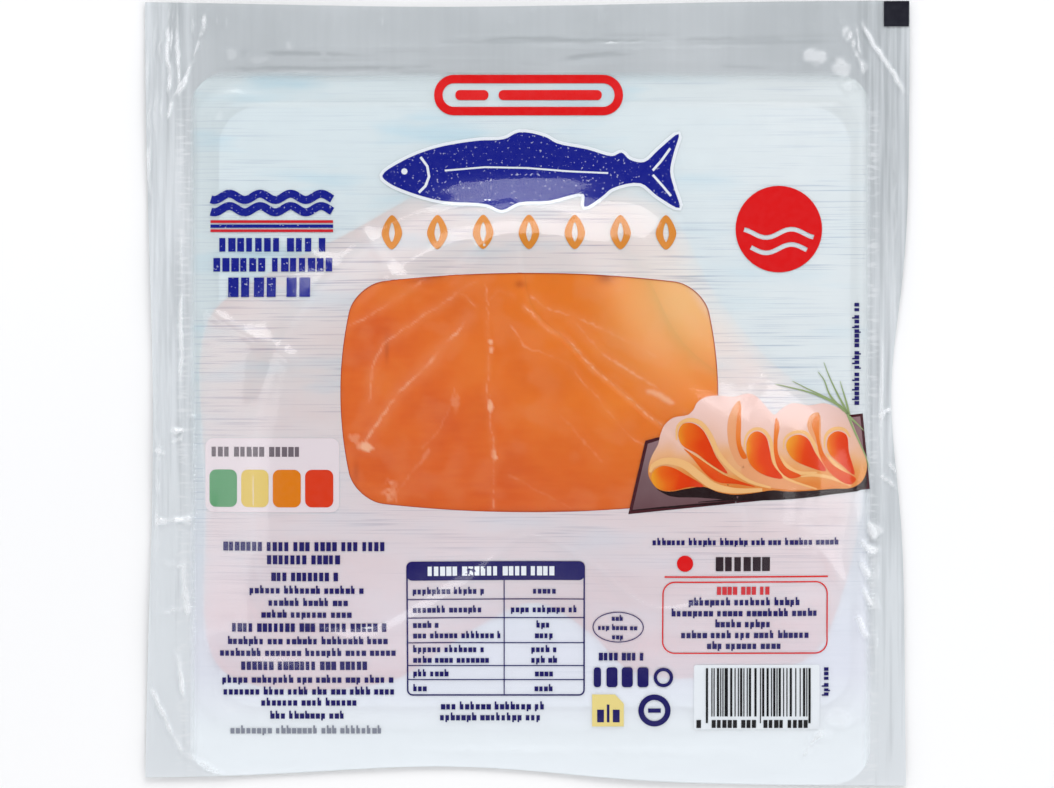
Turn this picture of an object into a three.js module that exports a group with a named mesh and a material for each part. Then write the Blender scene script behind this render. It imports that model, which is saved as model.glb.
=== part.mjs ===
// Sealed vacuum pack of sliced smoked salmon, lying flat with its printed side up.
// One closed solid: the outer form of the film drawn down over the slices, the
// backing card and the wavy seal border. Millimetres, +Z up, +X to the right and
// +Y towards the top edge of the pack. The underside rests on z = 0.

import * as THREE from 'three';
import { mergeVertices } from 'three/addons/utils/BufferGeometryUtils.js';

// The whole pack, across the seal border
const PACK_WIDTH = 180.4;
const PACK_LENGTH = 185.0;
const BORDER_THICKNESS = 0.5;
const BORDER_LIFT = 0.45;

// The raised panel that the backing card makes, measured at the foot of its slope
const PANEL_LEFT = -79.2;
const PANEL_RIGHT = 82.6;
const PANEL_BOTTOM = -80.4;
const PANEL_TOP = 73.8;
const PANEL_CORNER_RADIUS = 11.0;
const PANEL_SLOPE = 3.2;
const PANEL_HEIGHT = 1.3;

// The film's edges are pulled in where the sheet has puckered: how far, where, how wide
const EDGE_PULL_REACH = 9.5;
const LEFT_PULLS = [{ depth: 1.95, centre: -8, spread: 55 }];
const RIGHT_PULLS = [{ depth: 1.4, centre: -45, spread: 85 }, { depth: 3.4, centre: 0, spread: 26 }];
const TOP_PULLS = [{ depth: 1.5, centre: -20, spread: 60 }];
const BOTTOM_PULLS = [{ depth: 3.9, centre: -18, spread: 40 }, { depth: 1.8, centre: -95, spread: 70 }];

// Gentle waves along the seal border, highest at the free edge
const WAVE_HEIGHT = 0.55;
const SIDE_WAVE = { length: 41, phase: 0.6 };
const END_WAVE = { length: 53, phase: 1.9 };

// The slices under the film, lowest first: the whole stack's outline with its notch
// at the bottom edge, then the upper slices. Each outline is a closed smooth curve.
const SLICES = [
  {
    thickness: 4.8,
    edge: 12.0,
    corners: [
      [-76.6, 18], [-77.2, -25], [-76, -62], [-68, -69.4], [-32, -69.4], [-12, -57], [2, -51],
      [14, -58], [24, -67], [50, -68], [68, -63], [75, -50], [80.4, -20], [76, -6],
      [57, 7.5], [42, 22], [33, 43], [18, 51], [-1, 52.6], [-22, 50], [-44, 38.5], [-62, 29.5],
    ],
  },
  {
    thickness: 3.2,
    edge: 9.0,
    corners: [
      [-68, -12], [-58, 17], [-36, 38], [-10, 47], [14, 44], [27, 30], [37, 12], [58, -5],
      [68, -24], [60, -48], [36, -58], [14, -42], [0, -36], [-14, -46], [-40, -60], [-64, -50],
    ],
  },
];
const SLICE_CURVE_STEPS = 90;

// Mesh steps: across the narrow borders and the wide top one, up the slope, over the panel
const BORDER_STEPS = 2;
const TOP_BORDER_STEPS = 4;
const SLOPE_STEPS = 2;
const PANEL_STEPS = 33;

function smoothRise(value) {
  const t = THREE.MathUtils.clamp(value, 0, 1);
  return t * t * (3 - 2 * t);
}

function pullAt(pulls, place) {
  return pulls.reduce((sum, pull) => {
    const reach = (place - pull.centre) / pull.spread;
    return sum + pull.depth * Math.exp(-reach * reach);
  }, 0);
}

// Distance from a point to the rounded panel's foot line, negative inside it
function panelDistance(x, y) {
  const centreX = (PANEL_LEFT + PANEL_RIGHT) / 2;
  const centreY = (PANEL_BOTTOM + PANEL_TOP) / 2;
  const overX = Math.abs(x - centreX) - (PANEL_RIGHT - PANEL_LEFT) / 2 + PANEL_CORNER_RADIUS;
  const overY = Math.abs(y - centreY) - (PANEL_TOP - PANEL_BOTTOM) / 2 + PANEL_CORNER_RADIUS;
  const outside = Math.hypot(Math.max(overX, 0), Math.max(overY, 0));
  return outside + Math.min(Math.max(overX, overY), 0) - PANEL_CORNER_RADIUS;
}

// The slices' outlines as closed rings of points
const sliceRings = SLICES.map((slice) => {
  const corners = slice.corners.map(([x, y]) => new THREE.Vector3(x, y, 0));
  const curve = new THREE.CatmullRomCurve3(corners, true, 'centripetal');
  return curve.getPoints(SLICE_CURVE_STEPS).slice(0, -1);
});

// Distance from a point to a ring, negative inside it
function ringDistance(ring, x, y) {
  let nearest = Infinity;
  let inside = false;
  ring.forEach((start, index) => {
    const end = ring[(index + 1) % ring.length];
    const alongX = end.x - start.x;
    const alongY = end.y - start.y;
    const length2 = alongX * alongX + alongY * alongY;
    const t = THREE.MathUtils.clamp(((x - start.x) * alongX + (y - start.y) * alongY) / length2, 0, 1);
    nearest = Math.min(nearest, Math.hypot(x - start.x - t * alongX, y - start.y - t * alongY));
    if ((start.y > y) !== (end.y > y) && x < start.x + ((y - start.y) * alongX) / alongY) {
      inside = !inside;
    }
  });
  return inside ? -nearest : nearest;
}

// How far the film stands above the panel where slices lie under it
function stackHeight(x, y) {
  return SLICES.reduce((sum, slice, index) => {
    const depth = -ringDistance(sliceRings[index], x, y);
    return sum + slice.thickness * smoothRise(depth / slice.edge);
  }, 0);
}

// The border's underside: flat at the panel's foot, waving more towards the free edge
function borderLift(x, y) {
  const out = smoothRise(panelDistance(x, y) / EDGE_PULL_REACH);
  const alongSides = Math.sin((2 * Math.PI * y) / SIDE_WAVE.length + SIDE_WAVE.phase);
  const alongEnds = Math.sin((2 * Math.PI * x) / END_WAVE.length + END_WAVE.phase);
  return out * (BORDER_LIFT + (WAVE_HEIGHT * (1 + alongSides * alongEnds)) / 2);
}

// Mesh lines along one axis, closer together at the panel's slopes
function meshLines([low, panelLow, panelHigh, high], lastSteps) {
  const stops = [low, panelLow, panelLow + PANEL_SLOPE, panelHigh - PANEL_SLOPE, panelHigh, high];
  const steps = [BORDER_STEPS, SLOPE_STEPS, PANEL_STEPS, SLOPE_STEPS, lastSteps];
  const lines = [low];
  steps.forEach((count, index) => {
    for (let step = 1; step <= count; step += 1) {
      lines.push(THREE.MathUtils.lerp(stops[index], stops[index + 1], step / count));
    }
  });
  return lines;
}

const HALF_WIDTH = PACK_WIDTH / 2;
const HALF_LENGTH = PACK_LENGTH / 2;
const columns = meshLines([-HALF_WIDTH, PANEL_LEFT, PANEL_RIGHT, HALF_WIDTH], BORDER_STEPS);
const rows = meshLines([-HALF_LENGTH, PANEL_BOTTOM, PANEL_TOP, HALF_LENGTH], TOP_BORDER_STEPS);

// A rectangle's point drawn in to where the puckered film really ends
function pulledPoint(x, y) {
  const near = (distance) => Math.max(0, 1 - distance / EDGE_PULL_REACH);
  return [
    x + pullAt(LEFT_PULLS, y) * near(x + HALF_WIDTH) - pullAt(RIGHT_PULLS, y) * near(HALF_WIDTH - x),
    y + pullAt(BOTTOM_PULLS, x) * near(y + HALF_LENGTH) - pullAt(TOP_PULLS, x) * near(HALF_LENGTH - y),
  ];
}

function packGeometry() {
  const columnCount = columns.length - 1;
  const rowCount = rows.length - 1;
  const block = new THREE.BoxGeometry(columnCount, rowCount, 1, columnCount, rowCount, 1);
  block.deleteAttribute('normal');
  block.deleteAttribute('uv');
  const geometry = mergeVertices(block);
  const position = geometry.attributes.position;
  for (let index = 0; index < position.count; index += 1) {
    const column = Math.round(position.getX(index) + columnCount / 2);
    const row = Math.round(position.getY(index) + rowCount / 2);
    const [x, y] = pulledPoint(columns[column], rows[row]);
    const lift = borderLift(x, y);
    const panel = PANEL_HEIGHT * smoothRise(-panelDistance(x, y) / PANEL_SLOPE);
    const top = lift + BORDER_THICKNESS + panel + stackHeight(x, y);
    position.setXYZ(index, x, y, position.getZ(index) > 0 ? top : lift);
  }
  geometry.computeVertexNormals();
  return geometry;
}

const filmMaterial = new THREE.MeshStandardMaterial({ color: '#cfd9e0', roughness: 0.25, metalness: 0 });
const sealedPack = new THREE.Mesh(packGeometry(), filmMaterial);
sealedPack.name = 'sealed_pack';

const group = new THREE.Group();
group.add(sealedPack);

export default group;
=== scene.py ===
import math

import bpy
import numpy as np
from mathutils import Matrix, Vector
from mathutils.geometry import delaunay_2d_cdt


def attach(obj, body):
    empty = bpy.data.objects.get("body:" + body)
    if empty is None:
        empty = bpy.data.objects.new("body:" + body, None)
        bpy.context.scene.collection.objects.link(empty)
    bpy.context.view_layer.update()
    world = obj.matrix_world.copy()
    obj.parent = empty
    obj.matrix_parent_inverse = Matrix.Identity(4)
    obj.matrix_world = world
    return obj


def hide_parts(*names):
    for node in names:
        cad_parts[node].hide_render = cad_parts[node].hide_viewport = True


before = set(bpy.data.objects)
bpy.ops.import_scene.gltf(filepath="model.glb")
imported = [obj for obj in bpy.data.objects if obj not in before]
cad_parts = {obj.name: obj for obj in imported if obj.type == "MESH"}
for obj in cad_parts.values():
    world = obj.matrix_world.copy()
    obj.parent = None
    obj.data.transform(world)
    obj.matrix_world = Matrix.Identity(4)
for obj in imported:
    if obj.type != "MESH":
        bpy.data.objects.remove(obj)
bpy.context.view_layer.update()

scene = bpy.context.scene

# Camera
# The pack was photographed from straight above with a long lens. All places in this script
# are in millimetres on the pack, from the middle of its underside: X to the right as the
# printing is read, Y to the top edge, Z up out of the printed side.
MM = 0.001
PHOTO_WIDTH = 1054
MM_PER_PIXEL = 0.2353
FRAME_CENTRE = (-0.12, -0.24)
CAMERA_HEIGHT = 1500.0
SCALE_LEVEL = 3.0
SENSOR_WIDTH = 36.0

camera_data = bpy.data.cameras.new("camera")
camera_data.sensor_width = SENSOR_WIDTH
camera_data.lens = SENSOR_WIDTH * (CAMERA_HEIGHT - SCALE_LEVEL) / (PHOTO_WIDTH * MM_PER_PIXEL)
camera = bpy.data.objects.new("camera", camera_data)
camera.location = Vector((*FRAME_CENTRE, CAMERA_HEIGHT)) * MM
scene.collection.objects.link(camera)
scene.camera = camera

# Bottom web
# The lower half of the pouch: a slightly milky grey-blue film a quarter of a millimetre
# thick. The card lies on it, and all round the card it is heat-sealed to the top film, so
# the border waves, puckers and creases with that film.
PACK_WIDTH = 180.4
PACK_LENGTH = 185.0
BORDER_THICKNESS = 0.5
BORDER_LIFT = 0.45
PANEL_LEFT, PANEL_RIGHT = -79.2, 82.6
PANEL_BOTTOM, PANEL_TOP = -80.4, 73.8
PANEL_CORNER_RADIUS = 11.0
WEB_THICKNESS = 0.2
WEB_UNDER_FILM = 0.34
WEB_HIDDEN_MARGIN = 5.0
WEB_FLOOR_LINES = 60
FILM_STEPS = (0.25, 0.75, 0.40, 0.68)
SIDE_BORDER_REACH, HEAD_BORDER_REACH = 12.5, 26.0

# How far the puckered edges are pulled in: depth, centre and spread along the edge
EDGE_PULL_REACH = 9.5
LEFT_PULLS = [(1.95, -8, 55)]
RIGHT_PULLS = [(1.4, -45, 85), (3.4, 0, 26)]
TOP_PULLS = [(1.5, -20, 60)]
BOTTOM_PULLS = [(3.9, -18, 40), (1.8, -95, 70)]

# Waves of the border: height, then length and phase along the sides and along the ends
WAVE_HEIGHT = 0.55
SIDE_WAVE = (41, 0.6)
END_WAVE = (53, 1.9)

# Creases of the sealed border: from, to, half width and height
BORDER_CREASES = [
    ((-85.1, 91.5), (-84.6, 67.8), 0.40, 0.38),
    ((-82.7, 91.5), (-82.6, 71.3), 0.35, 0.30),
    ((-88.0, 91.0), (-87.6, 55.0), 0.35, 0.18),
    ((-86.6, 88.0), (-86.2, 62.0), 0.30, 0.20),
    ((-89.2, 84.0), (-88.8, 40.0), 0.30, 0.20),
    ((-84.0, 91.0), (-84.1, 80.0), 0.30, 0.24),
    ((-79.0, 91.5), (-78.8, 84.0), 0.30, 0.20),
    ((-71.0, 91.0), (-70.6, 86.0), 0.35, 0.16),
    ((-75.7, 90.1), (-79.2, 77.9), 0.40, 0.34),
    ((-79.2, 77.9), (-83.9, 68.9), 0.42, 0.42),
    ((-83.9, 68.9), (-84.8, 64.5), 0.40, 0.34),
    ((-80.8, 74.4), (-82.4, 69.4), 0.55, 0.30),
    ((-56.0, 81.4), (-11.0, 81.6), 0.60, 0.10),
    ((-73.5, 76.4), (-23.0, 76.8), 0.45, -0.16),
    ((-60.0, 75.2), (-30.0, 75.4), 0.40, 0.12),
    ((-68.0, 80.3), (-36.0, 79.6), 0.40, -0.12),
    ((7.6, 78.4), (21.0, 80.2), 0.50, -0.14),
    ((-20.0, 82.6), (60.0, 83.4), 0.35, -0.12),
    ((5.0, 81.0), (56.0, 81.4), 0.40, 0.12),
    ((16.4, 82.1), (37.0, 83.1), 0.50, 0.12),
    ((7.6, 77.2), (40.6, 78.6), 0.60, 0.10),
    ((74.7, 87.3), (79.6, 75.5), 0.45, 0.34),
    ((77.5, 86.6), (79.0, 79.0), 0.35, 0.26),
    ((72.8, 90.0), (75.5, 82.0), 0.45, 0.24),
    ((78.7, 87.3), (88.8, 70.6), 0.50, 0.42),
    ((-84.3, 60.0), (-84.0, -25.0), 0.50, 0.13),
    ((-87.2, 50.0), (-87.4, -60.0), 0.35, 0.16),
    ((-81.5, 40.0), (-81.6, -20.0), 0.35, 0.14),
    ((-88.0, -30.8), (-78.0, -29.3), 0.55, 0.34),
    ((-81.3, -36.5), (-80.6, -53.0), 0.90, 0.30),
    ((-82.9, -60.5), (-80.6, -72.2), 0.60, 0.34),
    ((-84.1, -8.7), (-79.9, -9.4), 0.45, 0.40),
    ((-83.9, -11.6), (-81.3, -10.4), 0.40, 0.36),
    ((-88.4, -13.6), (-85.5, -14.2), 0.40, 0.30),
    ((-88.1, -29.2), (-85.1, -30.6), 0.40, 0.30),
    ((-82.0, 22.0), (-81.6, 4.0), 0.60, 0.15),
    ((-80.2, 52.0), (-80.0, 20.0), 0.60, 0.14),
    ((-88.4, -69.9), (-85.3, -76.9), 0.50, 0.42),
    ((-85.3, -76.9), (-81.3, -85.2), 0.50, 0.42),
    ((-81.3, -85.2), (-71.9, -89.9), 0.60, 0.36),
    ((82.8, -6.0), (86.2, -3.5), 0.45, 0.34),
    ((82.6, -19.5), (87.2, -22.8), 0.45, 0.34),
    ((85.0, -16.5), (87.2, -19.0), 0.40, 0.25),
    ((86.4, 62.0), (86.8, 12.0), 0.45, 0.16),
    ((84.6, 50.0), (84.8, 26.0), 0.35, 0.10),
    ((64.1, -87.1), (69.3, -79.8), 0.60, 0.35),
    ((79.6, -30.5), (81.5, -33.5), 0.70, 0.60),
    ((78.4, -35.0), (81.8, -37.5), 0.70, 0.60),
    ((78.0, -39.5), (80.5, -43.5), 0.70, 0.55),
    ((79.0, -46.0), (81.0, -50.5), 0.60, 0.50),
    ((77.6, -52.0), (80.2, -58.0), 0.60, 0.45),
    ((-86.0, -40.0), (-81.5, -41.0), 0.50, 0.32),
    ((-87.0, -52.0), (-80.5, -50.5), 0.50, 0.30),
    ((-30.0, -84.0), (52.0, -84.6), 0.80, 0.14),
]
# Puffs and dents of the border: place, half sizes and height
BORDER_PUFFS = [
    ((-69.8, 79.3), (2.2, 1.8), 0.30),
    ((-63.0, 79.0), (2.8, 1.3), 0.25),
    ((-56.8, 81.7), (1.4, 1.4), 0.30),
    ((-47.4, 79.8), (1.3, 1.0), 0.25),
    ((68.2, 78.7), (3.6, 1.9), 0.50),
    ((74.1, 76.9), (2.2, 3.0), 0.50),
    ((75.5, 72.6), (2.2, 1.8), 0.45),
    ((79.9, 76.6), (1.4, 2.2), 0.35),
    ((-81.1, -29.6), (1.8, 0.8), 0.35),
    ((-79.6, -5.2), (1.1, 0.6), 0.45),
    ((-82.6, -9.6), (1.5, 0.5), 0.40),
    ((-80.6, -51.0), (1.0, 1.6), 0.30),
    ((81.6, -32.2), (2.0, 1.6), 0.50),
    ((81.4, -36.8), (1.6, 1.4), 0.45),
    ((82.2, -43.0), (1.2, 2.5), 0.35),
    ((82.0, -50.0), (1.4, 2.4), 0.35),
    ((81.6, -58.0), (1.2, 2.8), 0.30),
    ((73.1, -76.9), (3.6, 2.4), 0.45),
    ((69.3, -80.4), (2.2, 1.8), 0.35),
]
# Fine stretch lines, seeded: how many, the range of places across and up the pack, of lengths,
# the greatest slant, the range of half widths and of heights, and whether they run up the pack
STREAK_SEED = 11
STREAK_KINDS = [
    (26, (-89.5, -80.0), (-85.0, 80.0), (8.0, 55.0), 0.6, (0.25, 0.45), (0.03, 0.12), True),
    (26, (83.2, 88.8), (-85.0, 80.0), (8.0, 55.0), 0.6, (0.25, 0.45), (0.03, 0.12), True),
    (34, (-80.0, 50.0), (75.6, 84.5), (6.0, 40.0), 0.8, (0.3, 0.5), (-0.12, 0.09), False),
    (44, (-86.0, 84.0), (84.0, 90.5), (1.5, 6.0), 0.5, (0.25, 0.4), (0.05, 0.16), True),
]
# How the film is crumpled there: the size of the fine and the wide patches of noise, how far
# each bends a crease or a puff, and how unevenly creases and puffs stand up
CRUMPLE_SEED = 21
FINE_PATCH, WIDE_PATCH, STRENGTH_PATCH = 1.7, 5.0, 2.8
CREASE_BEND_FINE, CREASE_BEND_WIDE = 0.5, 1.2
PUFF_BEND_FINE, PUFF_BEND_WIDE = 1.3, 1.8
STRENGTH_LEAST, STRENGTH_MORE = 0.45, 1.1
PUFF_HEIGHT, PUFF_GAIN, PUFF_CUT = 0.6, 1.9, 0.45
CREASE_END, CREASE_END_REACH = 0.35, 0.2
NOISE_CELLS = 97


def smooth_rise(value):
    t = np.clip(value, 0.0, 1.0)
    return t * t * (3.0 - 2.0 * t)


def cloud_at(x, y, size, seed):
    """Smooth seeded noise from 0 to 1 whose patches are about the given size"""
    table = np.random.default_rng(seed).random((NOISE_CELLS, NOISE_CELLS))
    column, row = x / size, y / size
    left, low = np.floor(column).astype(int), np.floor(row).astype(int)
    t, u = smooth_rise(column - left), smooth_rise(row - low)
    values = [table[(left + i) % NOISE_CELLS, (low + j) % NOISE_CELLS] for i in (0, 1) for j in (0, 1)]
    return (values[0] * (1 - u) + values[1] * u) * (1 - t) + (values[2] * (1 - u) + values[3] * u) * t


def pull_at(pulls, place):
    return sum(depth * np.exp(-(((place - centre) / spread) ** 2)) for depth, centre, spread in pulls)


def pulled(x, y):
    """A rectangle's points drawn in to where the puckered film really ends"""
    half_width, half_length = PACK_WIDTH / 2, PACK_LENGTH / 2

    def near(distance):
        return np.maximum(0.0, 1.0 - distance / EDGE_PULL_REACH)

    from_left = pull_at(LEFT_PULLS, y) * near(x + half_width)
    from_right = pull_at(RIGHT_PULLS, y) * near(half_width - x)
    from_bottom = pull_at(BOTTOM_PULLS, x) * near(y + half_length)
    from_top = pull_at(TOP_PULLS, x) * near(half_length - y)
    return x + from_left - from_right, y + from_bottom - from_top


def panel_distance(x, y):
    """Distance to the foot line of the raised panel, negative inside it"""
    over_x = np.abs(x - (PANEL_LEFT + PANEL_RIGHT) / 2) - (PANEL_RIGHT - PANEL_LEFT) / 2
    over_y = np.abs(y - (PANEL_BOTTOM + PANEL_TOP) / 2) - (PANEL_TOP - PANEL_BOTTOM) / 2
    over_x = over_x + PANEL_CORNER_RADIUS
    over_y = over_y + PANEL_CORNER_RADIUS
    outside = np.hypot(np.maximum(over_x, 0.0), np.maximum(over_y, 0.0))
    return outside + np.minimum(np.maximum(over_x, over_y), 0.0) - PANEL_CORNER_RADIUS


def crease(x, y, start, end, half_width, height):
    """A ridge along a straight line, fading out at its ends"""
    along_x, along_y = end[0] - start[0], end[1] - start[1]
    t = ((x - start[0]) * along_x + (y - start[1]) * along_y) / (along_x**2 + along_y**2)
    t = np.clip(t, 0.0, 1.0)
    away = np.hypot(x - start[0] - t * along_x, y - start[1] - t * along_y)
    fade = CREASE_END + (1 - CREASE_END) * smooth_rise(np.minimum(t, 1.0 - t) / CREASE_END_REACH)
    return height * fade * np.exp(-((away / half_width) ** 2))


def puff(x, y, place, half_sizes):
    """A round swelling, 1 at its middle"""
    reach = ((x - place[0]) / half_sizes[0]) ** 2 + ((y - place[1]) / half_sizes[1]) ** 2
    return np.exp(-reach)


def border_streaks():
    """Fine stretch lines along the two side borders and across the head, seeded"""
    draw = np.random.default_rng(STREAK_SEED)
    streaks = []
    for count, across, up, lengths, slant, half_widths, heights, runs_up in STREAK_KINDS:
        for _ in range(count):
            x, y = draw.uniform(*across), draw.uniform(*up)
            length, lean = draw.uniform(*lengths), draw.uniform(-slant, slant)
            end = (x + lean, y + length) if runs_up else (x + length, y + lean)
            streaks.append(((x, y), end, draw.uniform(*half_widths), draw.uniform(*heights)))
    return streaks


BORDER_STREAKS = border_streaks()


def border_lift(x, y):
    """The border's underside: flat at the panel's foot, waving towards the free edge"""
    out = smooth_rise(panel_distance(x, y) / EDGE_PULL_REACH)
    along_sides = np.sin(2 * math.pi * y / SIDE_WAVE[0] + SIDE_WAVE[1])
    along_ends = np.sin(2 * math.pi * x / END_WAVE[0] + END_WAVE[1])
    return out * (BORDER_LIFT + WAVE_HEIGHT * (1 + along_sides * along_ends) / 2)


def border_relief(x, y):
    """Every crease, streak and puff of the border, as height"""
    height = np.zeros(np.shape(x))
    for start, end, half_width, ridge in BORDER_STREAKS:
        height = height + crease(x, y, start, end, half_width, ridge)
    fine_x, fine_y = (cloud_at(x, y, FINE_PATCH, CRUMPLE_SEED + k) - 0.5 for k in (0, 1))
    wide_x, wide_y = (cloud_at(x, y, WIDE_PATCH, CRUMPLE_SEED + k) - 0.5 for k in (2, 3))
    strength = STRENGTH_LEAST + STRENGTH_MORE * cloud_at(x, y, STRENGTH_PATCH, CRUMPLE_SEED + 4)
    bent_x, bent_y = x + CREASE_BEND_FINE * fine_x + CREASE_BEND_WIDE * wide_x, y + CREASE_BEND_FINE * fine_y
    for start, end, half_width, ridge in BORDER_CREASES:
        height = height + strength * crease(bent_x, bent_y, start, end, half_width, ridge)
    bent_x, bent_y = (axis + PUFF_BEND_FINE * fine + PUFF_BEND_WIDE * wide
                      for axis, fine, wide in ((x, fine_x, wide_x), (y, fine_y, wide_y)))
    for place, half_sizes, rise in BORDER_PUFFS:
        swollen = smooth_rise(PUFF_GAIN * puff(bent_x, bent_y, place, half_sizes) - PUFF_CUT)
        height = height + PUFF_HEIGHT * rise * swollen
    return height


def border_surface(x, y):
    return border_lift(x, y) + BORDER_THICKNESS + border_relief(x, y)


def film_lines():
    """Grid lines of the film, closer together in the side and head borders with their creases"""
    side_step, middle_step, head_step, length_step = FILM_STEPS
    half_width, half_length = PACK_WIDTH / 2, PACK_LENGTH / 2
    inner, head = half_width - SIDE_BORDER_REACH, half_length - HEAD_BORDER_REACH
    columns = [np.arange(-half_width, -inner, side_step), np.arange(-inner, inner, middle_step),
               np.linspace(inner, half_width, int(SIDE_BORDER_REACH / side_step) + 1)]
    rows = [np.arange(-half_length, head, length_step),
            np.linspace(head, half_length, int(HEAD_BORDER_REACH / head_step) + 1)]
    return [np.concatenate(columns), np.concatenate(rows)]


FILM_LINES = film_lines()


def grid(lines, keep):
    """Points and cells of a sheet cut to the pack's outline, with only the cells to keep"""
    columns, rows = lines
    flat_x, flat_y = (axis.ravel() for axis in np.meshgrid(columns, rows, indexing="ij"))
    index = np.arange(len(columns) * len(rows)).reshape(len(columns), len(rows))
    corners = (index[:-1, :-1], index[1:, :-1], index[1:, 1:], index[:-1, 1:])
    cells = np.stack([corner.ravel() for corner in corners], axis=1)
    cells = cells[keep(flat_x[cells].mean(axis=1), flat_y[cells].mean(axis=1))]
    used, cells = np.unique(cells, return_inverse=True)
    x, y = pulled(flat_x[used], flat_y[used])
    return np.column_stack([x, y]), cells.reshape(-1, 4)


def solid_between(flat, faces, top, bottom):
    """A closed solid over flat faces: a top and a bottom skin, and walls along every rim"""
    count, corners = len(flat), faces.shape[1]
    points = np.vstack([np.column_stack([flat, top]), np.column_stack([flat, bottom])])
    sides = np.concatenate([faces[:, [k, (k + 1) % corners]] for k in range(corners)])
    rim = sides[~np.isin(sides[:, 0] * count + sides[:, 1], sides[:, 1] * count + sides[:, 0])]
    walls = np.column_stack([rim[:, 1], rim[:, 0], rim[:, 0] + count, rim[:, 1] + count])
    return points, faces.tolist() + (faces[:, ::-1] + count).tolist() + walls.tolist()


SHARP_FROM = math.radians(50)


def mesh_piece(name, points, faces, material):
    """A piece of the pack from points in millimetres"""
    mesh = bpy.data.meshes.new(name)
    mesh.from_pydata((np.asarray(points) * MM).tolist(), [], faces)
    mesh.shade_smooth()
    mesh.set_sharp_from_angle(angle=SHARP_FROM)
    mesh.materials.append(material)
    piece = bpy.data.objects.new(name, mesh)
    scene.collection.objects.link(piece)
    return piece


def mark_points(piece, name, value_at):
    """Stores a value on every point of a piece, worked out from where the point lies"""
    points = np.empty(3 * len(piece.data.vertices))
    piece.data.vertices.foreach_get("co", points)
    x, y = points.reshape(-1, 3).T[:2] / MM
    piece.data.attributes.new(name, "FLOAT", "POINT").data.foreach_set("value", value_at(x, y))


def fasten(piece):
    """The piece stands in for the CAD solid and moves with it"""
    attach(piece, "root")
    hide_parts("sealed_pack")


def hex_colour(code):
    """An sRGB hex code as linear colour"""
    channels = [int(code[k:k + 2], 16) / 255 for k in (1, 3, 5)]
    linear = [c / 12.92 if c <= 0.04045 else ((c + 0.055) / 1.055) ** 2.4 for c in channels]
    return (*linear, 1.0)


def new_material(name):
    material = bpy.data.materials.new(name)
    material.use_nodes = True
    material.node_tree.nodes.clear()
    return material, material.node_tree


def add(tree, kind, inputs=None, stops=None, **settings):
    """Adds a node; inputs take a value, a socket or a node for its first one, stops are a ramp's colours"""
    node = tree.nodes.new("ShaderNode" + kind)
    for name, value in settings.items():
        setattr(node, name, value)
    for name, value in (inputs or {}).items():
        if isinstance(value, (bpy.types.NodeSocket, bpy.types.Node)):
            tree.links.new(getattr(value, "outputs", [value])[0], node.inputs[name])
        else:
            node.inputs[name].default_value = value
    if stops:
        while len(node.color_ramp.elements) < len(stops):
            node.color_ramp.elements.new(0.5)
        for element, (position, colour) in zip(node.color_ramp.elements, stops):
            element.position = position
            element.color = colour
    return node


# Two plies of co-extruded film sealed together: clear film turns slightly milky and
# grey-blue, with lighter and darker stretch marks along the seal, about 1.2 mm apart. At the
# head, where the seal is widest, it is painted darker, and it is lighter towards the foot: a
# painted reflection of the light that the foot catches. It is also lighter along the left edge.
# Sharp folds are white, partly from strain and partly as painted highlights, and the furrows
# between them are darkened with painted shade. Along the card's two sides runs a ladder of short
# white ticks, 0.9 mm apart: stretch ticks and painted highlights of the fine wrinkles there.
SEAL_DARK, SEAL_LIGHT = hex_colour("#bfc4c7"), hex_colour("#ecf0f3")
WHITENING_AND_HIGHLIGHT = hex_colour("#f6f8fa")
SEAL_STREAK_SPACING, SEAL_STREAK_LENGTH = 1.2, 35.7
SEAL_CLOUD_SIZE = 26.0
SEAL_MILKINESS = 0.88
SEAL_TICK_SPACING, SEAL_TICK_LENGTH = 0.9, 4.0
LADDER_FROM_MIDDLE = 80.6
SEAL_HEAD_PAINTED_SHADE = 0.22

web_material, tree = new_material("milky_sealed_film")
place = add(tree, "TexCoord").outputs["Object"]
streak_space = add(tree, "Mapping", {
    "Vector": place, "Scale": (1000 / SEAL_STREAK_SPACING, 1000 / SEAL_STREAK_LENGTH, 1)})
streaks = add(tree, "TexNoise", {"Vector": streak_space, "Scale": 1.0, "Detail": 2.0})
clouds = add(tree, "TexNoise", {"Vector": place, "Scale": 1000 / SEAL_CLOUD_SIZE, "Detail": 3.0})
across_pack, up_pack = add(tree, "SeparateXYZ", {0: place}).outputs[:2]
aside = add(tree, "Math", {0: across_pack}, operation="ABSOLUTE")
side = add(tree, "MapRange", {0: aside, 1: 76 * MM, 2: 82 * MM, 3: 0.12, 4: 1.4})
streak = add(tree, "MapRange", {0: streaks, 1: 0.3, 2: 0.7, 3: -0.28, 4: 0.28})
marked = add(tree, "Math", {0: streak, 1: side}, operation="MULTIPLY")
cloud = add(tree, "MapRange", {0: clouds, 1: 0.3, 2: 0.7, 3: -0.12, 4: 0.12})
tone = add(tree, "Math", {0: marked, 1: cloud}, operation="ADD")
# Painted light: the seal is darker at the head and lighter towards the foot, for the light that the foot
# reflects
head_foot_painted_light = add(tree, "MapRange", {0: up_pack, 1: 85 * MM, 2: -80 * MM, 3: SEAL_HEAD_PAINTED_SHADE, 4: 1.0})
painted_light_toned = add(tree, "Math", {0: tone, 1: head_foot_painted_light}, operation="ADD")
left = add(tree, "MapRange", {0: across_pack, 1: -74 * MM, 2: -86 * MM, 3: 0.0, 4: 0.32})
brightened = add(tree, "Math", {0: painted_light_toned, 1: left}, operation="ADD")
relief = add(tree, "Attribute", attribute_name="relief")
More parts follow.
